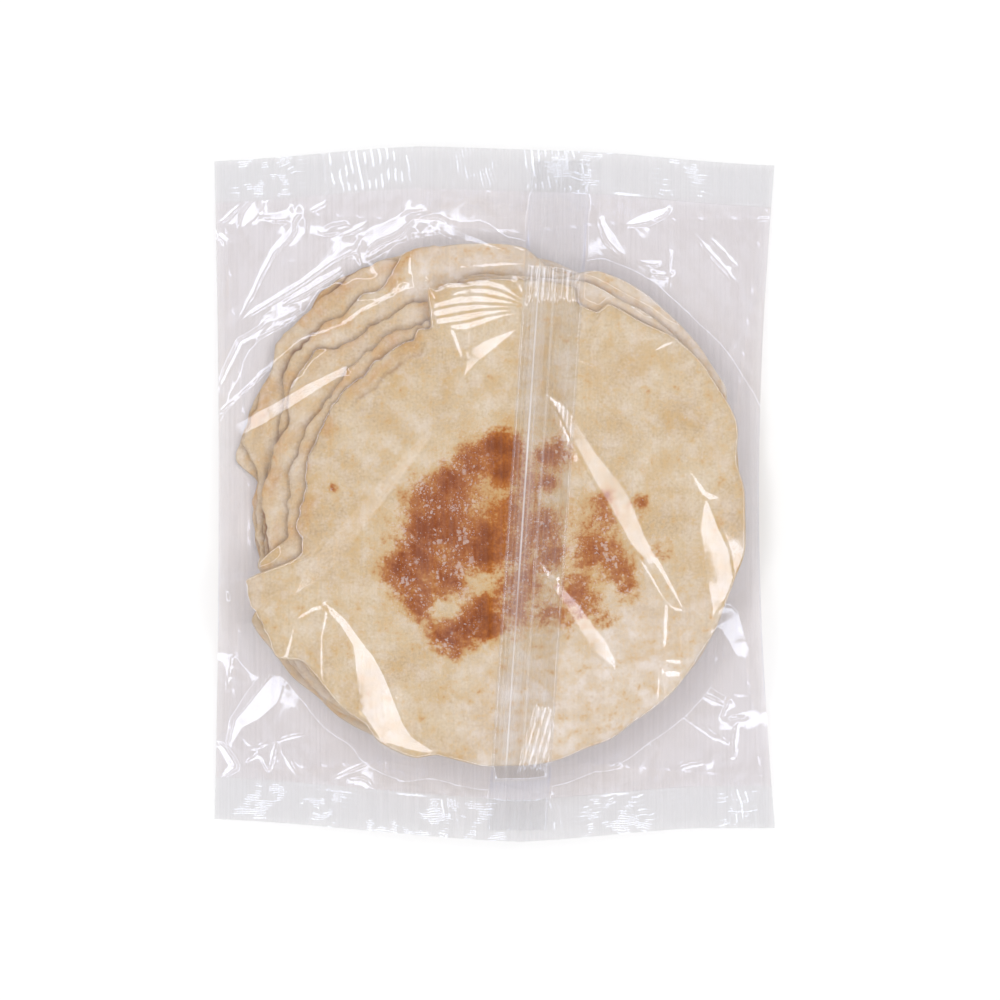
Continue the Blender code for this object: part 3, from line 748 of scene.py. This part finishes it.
def facets(x, y, spacing, seed):
    """Crumpled flat facets: heights at scattered points, and flat triangles between them."""
    rng = np.random.default_rng(seed)
    xs = np.arange(-CORNER_X - spacing, CORNER_X + 2 * spacing, spacing)
    ys = np.arange(-BAG_END - spacing, BAG_END + 2 * spacing, spacing)
    px, py = np.meshgrid(xs, ys)
    px = (px + rng.uniform(-0.45, 0.45, px.shape) * spacing).ravel()
    py = (py + rng.uniform(-0.45, 0.45, py.shape) * spacing).ravel()
    level = rng.uniform(-1.0, 1.0, px.size)
    corners = [Vector((float(a), float(b))) for a, b in zip(px, py)]
    kept, _, triangles, origins, _, _ = delaunay_2d_cdt(corners, [], [], 0, 1e-4)
    level = np.array([level[origin[0]] for origin in origins])
    kept = np.array([tuple(point) for point in kept])
    height = np.zeros(x.shape)
    for triangle in triangles:
        corner = kept[list(triangle)]
        a, b, c = corner
        ha, hb, hc = level[list(triangle)]
        low_x, low_y = corner.min(axis=0)
        high_x, high_y = corner.max(axis=0)
        columns = np.where((x[0] >= low_x - COLUMN_BOW) & (x[0] <= high_x + COLUMN_BOW))[0]
        rows = np.where((y[:, 0] >= low_y - ROW_BOW) & (y[:, 0] <= high_y + ROW_BOW))[0]
        if not len(columns) or not len(rows):
            continue
        box = (slice(rows[0], rows[-1] + 1), slice(columns[0], columns[-1] + 1))
        area = (b[0] - a[0]) * (c[1] - a[1]) - (c[0] - a[0]) * (b[1] - a[1])
        dx = x[box] - a[0]
        dy = y[box] - a[1]
        u = (dx * (c[1] - a[1]) - dy * (c[0] - a[0])) / area
        v = (dy * (b[0] - a[0]) - dx * (b[1] - a[1])) / area
        inside = (u >= 0) & (v >= 0) & (u + v <= 1)
        height[box] = np.where(inside, ha + (hb - ha) * u + (hc - ha) * v, height[box])
    return height


def along_line(x, y, start, stop):
    """How far along a straight line a point is, from 0 to 1, and how far away from it."""
    dx, dy = stop[0] - start[0], stop[1] - start[1]
    part = np.clip(((x - start[0]) * dx + (y - start[1]) * dy) / (dx**2 + dy**2), 0.0, 1.0)
    return part, np.hypot(x - start[0] - part * dx, y - start[1] - part * dy)


def lean_creases(creases, slope, fray, x, y, rest_x, rest_y, lean_x, lean_y, firm, back):
    """Sets the lean of the film on each crease's face, with a firm hold on it there.

    Along its line a face falls as the film does, and the rest of its lean is across it. With
    back given, it sets the steep drop behind each face instead, where back is true.
    """
    unrest = 0.07 * bumps(x, y, 5.0, 15) + 0.07 * bumps(x, y, 1.7, 16)
    free = np.hypot(rest_x, rest_y) < 0.8 * SKIRT_SLOPE
    for number, line in enumerate(creases):
        nearest = np.full(x.shape, 1e9)
        for (x0, y0, w0), (x1, y1, w1) in zip(line, line[1:]):
            dx, dy = x1 - x0, y1 - y0
            length = math.hypot(dx, dy)
            part, away = along_line(x, y, (x0, y0), (x1, y1))
            side = ((x - x0) * dy - (y - y0) * dx) / length
            half = 0.5 * (w0 + (w1 - w0) * part)
            place = np.clip((side / half + 1) / 2, 0.0, 1.0)
            rest_cross = (rest_x * dy - rest_y * dx) / length
            way = np.where(np.abs(rest_cross) > FLAT_LIMIT, np.sign(rest_cross), (-1.0) ** number)
            whole = slope * (1.0 + fray * (0.04 - 0.14 * place + unrest))
            fall = np.clip((rest_x * dx + rest_y * dy) / length, -whole, whole)
            here = free & (away < nearest)
            if back is None:
                here &= away < half
                cross = way * np.sqrt(whole**2 - fall**2)
            else:
                far = half * (1.0 + 2.0 * slope / BACK_SLOPE)
                here &= back & (away >= half) & (away < far) & (side * way > 0)
                cross = -way * BACK_SLOPE
            nearest = np.where(here, away, nearest)
            lean_x[here] = ((fall * dx + cross * dy) / length)[here]
            lean_y[here] = ((fall * dy - cross * dx) / length)[here]
            firm[here] = FACE_FIRM if back is None else BACK_FIRM


def lean_bridges(x, y, lean_x, lean_y, firm, hold):
    """Sets the lean of the film on the faces that bridge from the stack to the bag's side."""
    for line in BRIDGES:
        for (x0, y0, z0, w0), (x1, y1, z1, w1) in zip(line, line[1:]):
            part, away = along_line(x, y, (x0, y0), (x1, y1))
            here = away < 0.5 * (w0 + (w1 - w0) * part)
            dx, dy = x1 - x0, y1 - y0
            length = math.hypot(dx, dy)
            fall = (z1 - z0) / length
            cross = math.sqrt(max(GLARE_SLOPE**2 - fall**2, 0.0))
            lean_x[here] = (fall * dx - cross * dy) / length
            lean_y[here] = (fall * dy + cross * dx) / length
            firm[here] = BRIDGE_FIRM
            hold[here] = BRIDGE_HOLD


SETTLE_ROUNDS = 400
OVERSHOOT = 1.6


def settle(height, step_x, step_y, firm_x, firm_y, rest, hold, floor, fixed):
    """Lets the film settle: every step of height comes as near as it can to the wished one.

    Red and black points take turns, and no point sinks below the floor or leaves its hold.
    """
    rows, columns = height.shape
    pad = np.zeros((rows, 1))
    left, right = np.hstack([pad, firm_x]), np.hstack([firm_x, pad])
    pad = np.zeros((1, columns))
    below, above = np.vstack([pad, firm_y]), np.vstack([firm_y, pad])
    want = hold * rest
    want[:, 1:] += firm_x * step_x
    want[:, :-1] -= firm_x * step_x
    want[1:] += firm_y * step_y
    want[:-1] -= firm_y * step_y
    total = left + right + below + above + hold
    odd = (np.add.outer(np.arange(rows), np.arange(columns)) % 2).astype(bool)
    for _ in range(SETTLE_ROUNDS):
        for colour in (odd, ~odd):
            sum_ = want.copy()
            sum_[:, 1:] += left[:, 1:] * height[:, :-1]
            sum_[:, :-1] += right[:, :-1] * height[:, 1:]
            sum_[1:] += below[1:] * height[:-1]
            sum_[:-1] += above[:-1] * height[1:]
            moved = np.maximum(height + OVERSHOOT * (sum_ / total - height), floor)
            height = np.where(colour & ~fixed, moved, height)
    return height


across = np.linspace(0.0, 1.0, COLUMNS + 1)[None, :]
along = np.linspace(0.0, 1.0, ROWS + 1)[:, None]
film_x = CORNER_X * (2 * across - 1) + 0 * along
for _ in range(3):
    low_y = end_y(BOTTOM_EDGE, film_x) + SEAL_WIDTH
    high_y = end_y(TOP_EDGE, film_x) - SEAL_WIDTH
    film_y = low_y + (high_y - low_y) * along
    film_x = side_x("left", film_y) * (1 - across) + side_x("right", film_y) * across

# The film at rest: a tent over the stack, which falls steeply as a skirt round it, spans the
# stepped rims on the left more gently, and runs out in a nearly level apron to the bag's edge.
NOTHING_BELOW = -9.0
stack = np.full(film_x.shape, NOTHING_BELOW)
tent = hang(film_x, film_y) + APRON_SLOPE * edge_gap(film_x, film_y)
around = np.degrees(np.arctan2(film_y - MIDDLE_Y, film_x - MIDDLE_X)) % 360.0
skirt = SKIRT_SLOPE - (SKIRT_SLOPE - SPANNING_SLOPE) * between(around, 85.0, 205.0, 20.0)
skirt = skirt + 0.16 * between(around, 85.0, 122.0, 8.0)
for level, bread in enumerate(BREADS):
    beyond = past_edge(bread, film_x, film_y)
    surface = BASE_GAP + THICKNESS * (level + 1)
    pressed = np.maximum(between(around, 222.0, 262.0, 8.0), between(around, 326.0, 343.0, 6.0))
    drooped = surface - pressed * (0.25 + 0.6 * np.exp(np.minimum(beyond, 0.0) / 6.0))
    stack = np.where(beyond < 0.4, drooped, stack)
    tent = np.maximum(tent, surface + CLEAR - skirt * np.maximum(beyond, 0.0))
for line in BRIDGES:
    for (x0, y0, z0, w0), (x1, y1, z1, w1) in zip(line, line[1:]):
        part, away = along_line(film_x, film_y, (x0, y0), (x1, y1))
        off_face = np.maximum(away - 0.5 * (w0 + (w1 - w0) * part), 0.0)
        bridge = z0 + (z1 - z0) * part
        tent = np.where(off_face > 0, np.maximum(tent, bridge - BRIDGE_SIDES * off_face), bridge)
under = under_height(film_x, film_y)
film_floor = np.maximum(stack, under) + CLEAR
tent = np.minimum(np.maximum(tent, film_floor), STACK_TOP + CLEAR)
share = share_out(rim_far, film_x, film_y)
offset = fin_offset(film_x, film_y)
on_fin = np.abs(offset) < 0.5 * FIN_WIDTH - 0.5
fin_rest = fin_height(film_x, film_y) - 0.25 * (1.0 - share_out(rim_far, film_x, film_y) ** 4)
tent = np.where(on_fin, np.maximum(fin_rest, film_floor), tent)
fixed = np.zeros(film_x.shape, bool)
fixed[[0, -1]] = True
fixed[:, [0, -1]] = True
tent[fixed] = hang(film_x, film_y)[fixed]
film_floor[fixed] = NOTHING_BELOW
terrace = (past_edge(BREADS[-1], film_x, film_y) > 0) & (stack > 0)
hold = (0.5 / np.where(terrace, TAUT_MM, SLACK_MM)) ** 2
hold = np.where(on_fin, 0.03 + 0.2 * ease(4.0 * share), hold)
to_end = np.minimum(film_y - low_y, high_y - film_y)
to_side = np.minimum(film_x - side_x("left", film_y), side_x("right", film_y) - film_x)

# The lean that the film would like: that of the tent, kept clear of the slopes of glare, with
# fine crumpled facets on it, and on each crease the lean of its face.
slope_y, slope_x = np.gradient(tent)
slope_x = slope_x / np.gradient(film_x, axis=1)
slope_y = slope_y / np.gradient(film_y, axis=0)
steepness = np.hypot(slope_x, slope_y) + 1e-9
wished = np.where(
    steepness < GLARE_SLOPE,
    np.minimum(steepness, FLAT_LIMIT + 0.2 * (steepness - FLAT_LIMIT)),
    np.maximum(steepness, STEEP_LIMIT),
)
lean_x = slope_x * wished / steepness
lean_y = slope_y * wished / steepness

margin = ease(3.0 * share)
near_end = ease(1.0 - to_end / 16.0)
calm = 1.0 - 0.8 * ease((12.0 - np.abs(offset)) / 2.0)
crumple = (0.04 + 0.10 * margin) * calm * facets(film_x, film_y, 7.5, 11)
crumple += 0.06 * margin * calm * facets(film_x, film_y, 4.5, 13)
crumple += (0.015 + 0.02 * margin + 0.05 * near_end) * calm * facets(film_x, film_y, 2.6, 12)
crumple_y, crumple_x = np.gradient(crumple)
lean_x += crumple_x / np.gradient(film_x, axis=1)
lean_y += crumple_y / np.gradient(film_y, axis=0)
firm = np.ones(film_x.shape)
for creases, slope, fray, back in (
    (CREASES, GLARE_SLOPE, 1.0, stack < 0),
    (FAINT_CREASES, FAINT_SLOPE, 0.25, None),
    (SOFT_CREASES, SOFT_SLOPE, 0.25, None),
    (CREASES, GLARE_SLOPE, 1.0, None),
    (SOFTENED, SOFT_SLOPE, 0.2, None),
):
    lean_creases(creases, slope, fray, film_x, film_y, slope_x, slope_y, lean_x, lean_y, firm, back)
lean_bridges(film_x, film_y, lean_x, lean_y, firm, hold)


def steps_along(axis):
    """The wished steps of height and their firmness between neighbours along an axis."""
    first = (slice(None), slice(-1)) if axis else slice(-1)
    second = (slice(None), slice(1, None)) if axis else slice(1, None)
    mean_x = 0.5 * (lean_x[second] + lean_x[first])
    mean_y = 0.5 * (lean_y[second] + lean_y[first])
    step = mean_x * np.diff(film_x, axis=axis) + mean_y * np.diff(film_y, axis=axis)
    return step, np.minimum(firm[second], firm[first])


step_x, firm_x = steps_along(1)
step_y, firm_y = steps_along(0)
film_z = settle(tent.copy(), step_x, step_y, firm_x, firm_y, tent, hold, film_floor, fixed)


def grid_faces(rows, columns):
    """Quads of a grid of points, facing up when its rows run along +Y and columns along +X."""
    corner = (np.arange(rows - 1)[:, None] * columns + np.arange(columns - 1)[None, :]).ravel()
    return np.stack([corner, corner + 1, corner + 1 + columns, corner + columns], axis=1).tolist()


def film_at(x, y):
    """The height of the back film at those points."""
    share_x = (x - side_x("left", y)) / (side_x("right", y) - side_x("left", y))
    start = end_y(BOTTOM_EDGE, x) + SEAL_WIDTH
    share_y = (y - start) / (end_y(TOP_EDGE, x) - SEAL_WIDTH - start)
    column = np.clip(share_x * COLUMNS, 0, COLUMNS - 1e-6)
    row = np.clip(share_y * ROWS, 0, ROWS - 1e-6)
    i, j = column.astype(int), row.astype(int)
    u, v = column - i, row - j
    low = film_z[j, i] * (1 - u) + film_z[j, i + 1] * u
    high = film_z[j + 1, i] * (1 - u) + film_z[j + 1, i + 1] * u
    return low * (1 - v) + high * v


STREAK_MM = 1.3
STREAK_LENGTH_MM = 90.0


def clear_film(name, tint, haze):
    """Oriented polypropylene, drawn thin: clear and glossy, with faint streaks along the bag.

    It gives the eye sharp white glints on its creases, a little grey where two layers lie
    on each other, and a thin milky veil, which is stronger where layers are welded.
    """
    material, tree, output = new_material(name)
    place = node(tree, "ShaderNodeTexCoord").outputs["Object"]
    stretch = (1 / MM / STREAK_MM, 1 / MM / STREAK_LENGTH_MM, 0.0)
    stretched = node(
        tree, "ShaderNodeVectorMath", (place, stretch), operation="MULTIPLY"
    ).outputs[0]
    streaks = node(
        tree, "ShaderNodeTexNoise", {"Vector": stretched, "Scale": 1.0, "Detail": 2.0}
    ).outputs[0]
    veil = node(
        tree, "ShaderNodeMapRange", (streaks, 0.3, 0.7, 0.1 * haze, 1.9 * haze)
    ).outputs[0]
    weld = node(tree, "ShaderNodeAttribute", attribute_name="milk").outputs["Fac"]
    milky = node(tree, "ShaderNodeMath", (veil, weld), operation="ADD").outputs[0]
    facing = node(tree, "ShaderNodeLayerWeight", {"Blend": 0.5}).outputs["Facing"]
    grazing = node(tree, "ShaderNodeMath", (facing, 4.0), operation="POWER").outputs[0]
    gloss = node(tree, "ShaderNodeMath", (grazing, 0.25, 0.086), operation="MULTIPLY_ADD").outputs[0]
    through = node(tree, "ShaderNodeBsdfTransparent", {"Color": linear(tint)}).outputs[0]
    shine = node(
        tree, "ShaderNodeBsdfAnisotropic", {"Color": linear("#E3ECFF"), "Roughness": 0.07}
    ).outputs[0]
    milk = node(tree, "ShaderNodeBsdfDiffuse", {"Color": linear("#F4F2F5")}).outputs[0]
    clear = node(tree, "ShaderNodeMixShader", (gloss, through, shine)).outputs[0]
    veiled = node(tree, "ShaderNodeMixShader", (milky, clear, milk)).outputs[0]
    tree.links.new(veiled, output.inputs["Surface"])
    return material


sheet_film = clear_film("clear_polypropylene", "#FCFAFA", 0.024)
seam_columns = np.argmin(np.abs(offset[ROWS // 2]))
for name, columns in (
    ("bag_back_left", slice(0, seam_columns + 1)),
    ("bag_back_right", slice(seam_columns, COLUMNS + 1)),
):
    points = np.stack([film_x[:, columns], film_y[:, columns], film_z[:, columns]], axis=2)
    faces = grid_faces(points.shape[0], points.shape[1])
    panel = mesh_object(name, points.reshape(-1, 3), faces, sheet_film)

# The bag's front film
# The same film on the side that lies on the table. It is pressed flat under the stack, and
# past the lowest bread it rises to the side folds and the end seals.

FRONT_STEP = 2
FRONT_LOWEST = 0.06
front_x = film_x[::FRONT_STEP, ::FRONT_STEP]
front_y = film_y[::FRONT_STEP, ::FRONT_STEP]
front_share = share_out(low_far, front_x, front_y)
front_z = under_height(front_x, front_y) + 0.1 + (FILM - 0.1) * front_share**4
loose = ease(4.0 * front_share) * ease(4.0 * (1.0 - front_share))
crumple = 0.3 * facets(front_x, front_y, 9.0, 21) + 0.08 * facets(front_x, front_y, 3.2, 22)
front_z = np.clip(front_z + loose * crumple, FRONT_LOWEST, None)
back_z = film_z[::FRONT_STEP, ::FRONT_STEP]
front_z = np.minimum(front_z, np.where(front_share < 0.97, back_z - 0.1, front_z))
front_edge = np.zeros(front_x.shape, bool)
front_edge[[0, -1]] = True
front_edge[:, [0, -1]] = True
front_z = np.where(front_edge, hang(front_x, front_y), front_z)
points = np.stack([front_x, front_y, front_z], axis=2)
faces = [face[::-1] for face in grid_faces(points.shape[0], points.shape[1])]
front = mesh_object("bag_front", points.reshape(-1, 3), faces, sheet_film)
front.data.shade_flat()

# The fin seam
# The two long edges of the film are welded face to face by ribbed rollers, and the flap is
# laid over to one side. It is three layers thick, hazier than the bag and stiffly ribbed.

RIB_PITCH = 1.457
RIB_SAMPLES = 8
FIN_ROW_STEP = 0.45
RIB_HEIGHT = 0.009
LINE_HEIGHT = 0.045
END_PITCH = 2.1
END_LEAN = 0.22
END_RISE = 0.6
END_RIB_SLOPE = 0.27
fin_columns = int(round(FIN_WIDTH / RIB_PITCH)) * RIB_SAMPLES
fin_low = float(end_y(BOTTOM_EDGE, np.array(FIN_MIDDLE_X))) + 0.25 * SEAL_WIDTH
fin_high = float(end_y(TOP_EDGE, np.array(FIN_MIDDLE_X))) - 0.25 * SEAL_WIDTH
fin_rows = int((fin_high - fin_low) / FIN_ROW_STEP)
fin_y = np.linspace(fin_low, fin_high, fin_rows + 1)[:, None] + np.zeros((1, fin_columns + 1))
fin_across = np.linspace(-0.5, 0.5, fin_columns + 1)[None, :] * FIN_WIDTH + 0 * fin_y
fin_x = FIN_MIDDLE_X + FIN_LEAN * fin_y + fin_across
rib_share = 0.5 + 0.5 * bumps(fin_across, 0.08 * fin_y, 2.4, 31)
line = np.exp(-(((fin_across + 0.6) / 1.5) ** 2)) * (0.6 + 0.4 * bumps(fin_across, fin_y, 9.0, 32))
ribs = RIB_HEIGHT * (0.6 + rib_share) + LINE_HEIGHT * line
fin_relief = ribs * np.cos(2 * math.pi * fin_across / RIB_PITCH)
for start, stop, way in ((65.0, 80.5, 0.0), (-94.0, -72.0, 1.0)):
    slant = fin_across - way * END_LEAN * (fin_y - stop)
    there = between(fin_y + 1.5 * bumps(fin_across, 0 * fin_y, 1.7, 33), start, stop, 3.0)
    there = there * (0.8 + 0.25 * rib_share) * ease((slant - 3.0) / 0.6 if way else 2.0)
    phase = (slant / END_PITCH) % 1.0
    tooth = np.where(phase < END_RISE, phase / END_RISE, (1.0 - phase) / (1.0 - END_RISE)) - 0.5
    fin_relief = fin_relief + END_RIB_SLOPE * END_PITCH * END_RISE * there * tooth
inside_seals = fin_y > end_y(BOTTOM_EDGE, fin_x) + SEAL_WIDTH
inside_seals &= fin_y < end_y(TOP_EDGE, fin_x) - SEAL_WIDTH
fin_z = np.where(inside_seals, film_at(fin_x, fin_y), hang(fin_x, fin_y)) + 0.3 + fin_relief
edge_drop = ease((np.abs(fin_across) - 0.5 * FIN_WIDTH + 0.8) / 0.8)
fin_z = fin_z - 0.4 * edge_drop
points = np.stack([fin_x, fin_y, fin_z], axis=2)
fin_film = clear_film("welded_polypropylene", "#FFFFFF", 0.01)

# It is cut where it runs onto the end seals, so that each stretch keeps its own smooth shading.
crossings = np.flatnonzero(np.diff(inside_seals[:, fin_columns // 2].astype(int)))
cuts = [0, *(1 + crossings), fin_rows]
stretch_rows = [(a, b + 1) for a, b in zip(cuts, cuts[1:])]
faces = []
done = 0
for first, last in stretch_rows:
    faces += (np.array(grid_faces(last - first, fin_columns + 1)) + done).tolist()
    done += (last - first) * (fin_columns + 1)
fin_points = np.concatenate([points[first:last].reshape(-1, 3) for first, last in stretch_rows])
fin = mesh_object("fin_seam", fin_points, faces, fin_film)

# The weld is milkier in a band and on a line along it, and its ribs in stripes of their own.
band = ease((fin_across + 7.3) / 0.9) * ease((-1.3 - fin_across) / 0.9)
weld_line = np.exp(-(((fin_across - 0.25) / 0.45) ** 2))
weld_line = weld_line * (0.75 + 0.25 * bumps(0 * fin_y, fin_y, 8.0, 37))
on_stack = between(fin_y, -92.0, 78.0, 6.0)
rib_strength = np.random.default_rng(35).uniform(0.0, 1.0, 32) ** 1.3
rib_number = np.floor(fin_across / RIB_PITCH + 16).astype(int)
stripe = rib_strength[rib_number] * np.exp(-(((fin_across / RIB_PITCH % 1.0 - 0.5) / 0.2) ** 2))
stripe = stripe * (0.6 + 0.4 * bumps(fin_across, 0.2 * fin_y, 3.0, 36))
milk = (0.15 * band + 0.055) * (0.4 + 0.45 * rib_share + 3.0 * stripe) + 0.2 * weld_line
milk = milk * (0.15 + 0.85 * on_stack)
milk = np.concatenate([milk[first:last].ravel() for first, last in stretch_rows])
paint(fin, "milk", milk)

# The end seals
# At each end both films are welded flat between hot crimping jaws, whose teeth leave fine
# ridges across the bag. The weld is a little milky and glints in patches.

SEAL_ROWS = 60
SEAL_COLUMNS = 480
CRIMP_PITCH = 1.6
CRIMP_HEIGHT = 0.066
STROKE_PITCH = 2.4
STROKE_HEIGHT = 0.1
seal_film = clear_film("crimped_polypropylene", "#F4F3F4", 0.06)

# Each seal has stretches (from x, to x) with marks along the bag, and with marks across it.
SEALS = (
    (
        "end_seal_top",
        TOP_EDGE,
        1.0,
        ((-58, -27), (-15, 2), (9, 32)),
        ((-90, -66), (7, 42), (55, 72)),
    ),
    (
        "end_seal_bottom",
        BOTTOM_EDGE,
        -1.0,
        ((-20, -12), (16, 24), (80, 90)),
        ((-90, 5), (29, 54), (76, 90)),
    ),
)


def stretches(x, ranges, soft):
    """1 within any of the ranges of x, easing to 0 outside them."""
    return sum(between(x, start, stop, soft) for start, stop in ranges)


for name, knots, outward, strokes, crimped in SEALS:
    depth = np.linspace(0.0, SEAL_WIDTH, SEAL_ROWS + 1)[:, None]
    across = np.linspace(0.0, 1.0, SEAL_COLUMNS + 1)[None, :]
    x = CORNER_X * (2 * across - 1) + 0 * depth
    y = end_y(knots, x) + outward * (depth - SEAL_WIDTH)
    x = side_x("left", y) * (1 - across) + side_x("right", y) * across
    patchy = ease(1.6 * bumps(x, y, 6.0, 41) + 0.9) * ease(1.8 * bumps(x, y, 2.2, 42) + 0.5)
    crimps = np.cos(2 * math.pi * (depth + 0.7 * bumps(x, y, 4.0, 43)) / CRIMP_PITCH)
    slant = x + 0.15 * y + 0.6 * bumps(x, y, 5.0, 45)
    stroke = np.cos(2 * math.pi * slant / STROKE_PITCH)
    patchy_strokes = ease(2.2 * bumps(x, y, 3.2, 46) + 0.5) * stretches(x, strokes, 6.0)
    relief = CRIMP_HEIGHT * (0.15 + 1.2 * patchy * stretches(x, crimped, 8.0)) * crimps
    relief += STROKE_HEIGHT * patchy_strokes * stroke
    z = hang(x, y) + ease(depth / 1.5) * (relief + 0.25 * bumps(x, y, 14.0, 44))
    points = np.stack([x, y, z], axis=2)
    faces = grid_faces(SEAL_ROWS + 1, SEAL_COLUMNS + 1)
    if outward < 0:
        faces = [face[::-1] for face in faces]
    seal = mesh_object(name, points.reshape(-1, 3), faces, seal_film)

# The table and the light
# A plain white table under one soft overhead light, which reaches the film's leaning faces
# as a broad bright ring, and a dim grey room all round.

TABLE_SIZE = 6.0
table_paint, tree, output = new_material("white_table_paint")
table_shader = node(
    tree, "ShaderNodeBsdfPrincipled", {"Base Color": linear("#F3F3F3"), "Roughness": 0.9}
)
tree.links.new(table_shader.outputs[0], output.inputs["Surface"])
bpy.ops.mesh.primitive_plane_add(size=TABLE_SIZE, location=(0.0, 0.0, 0.0))
table = bpy.context.object
table.name = "table"
table.data.materials.append(table_paint)

RING_LEAN = 28.0
RING_CORE = 3.5
RING_FADE = 6.5
RING_LIGHT = 4.85
ROOM_LIGHT = 0.6
ZENITH_LIGHT = 0.06
ZENITH_LEAN = 14.0
ZENITH_FADE = 2.0
room = bpy.data.worlds.new("soft_studio")
room.use_nodes = True
tree = room.node_tree
tree.nodes.clear()
sky = node(tree, "ShaderNodeTexCoord").outputs["Generated"]
height = node(tree, "ShaderNodeSeparateXYZ", (sky,)).outputs["Z"]
dim = ROOM_LIGHT / RING_LIGHT
ring_stops = [
    (math.cos(math.radians(lean)), light)
    for lean, light in (
        (RING_LEAN + RING_FADE, dim),
        (RING_LEAN + RING_CORE, 1.0),
        (RING_LEAN - RING_CORE, 1.0),
        (RING_LEAN - RING_FADE, dim),
        (ZENITH_LEAN + ZENITH_FADE, dim),
        (ZENITH_LEAN - ZENITH_FADE, ZENITH_LIGHT / RING_LIGHT),
    )
]
ring = node(tree, "ShaderNodeValToRGB", (height,), stops=ring_stops).outputs[0]
glow = node(tree, "ShaderNodeBackground", {"Color": ring, "Strength": RING_LIGHT}).outputs[0]
node(tree, "ShaderNodeOutputWorld", {"Surface": glow})
bpy.context.scene.world = room
bpy.context.scene.view_settings.view_transform = "Standard"

# The camera
# It looks straight down from above the bag, from far away, and frames 340 mm.

CAMERA_X = 1.7
CAMERA_Y = -2.04
CAMERA_HEIGHT = 3500.0
FRAME_WIDTH = 340.0
FRAME_Z = 10.0
eye = bpy.data.cameras.new("camera")
eye.sensor_width = 36.0
eye.lens = eye.sensor_width * (CAMERA_HEIGHT - FRAME_Z) / FRAME_WIDTH
eye.clip_end = 100.0
camera = bpy.data.objects.new("camera", eye)
camera.location = (CAMERA_X * MM, CAMERA_Y * MM, CAMERA_HEIGHT * MM)
bpy.context.scene.collection.objects.link(camera)
bpy.context.scene.camera = camera
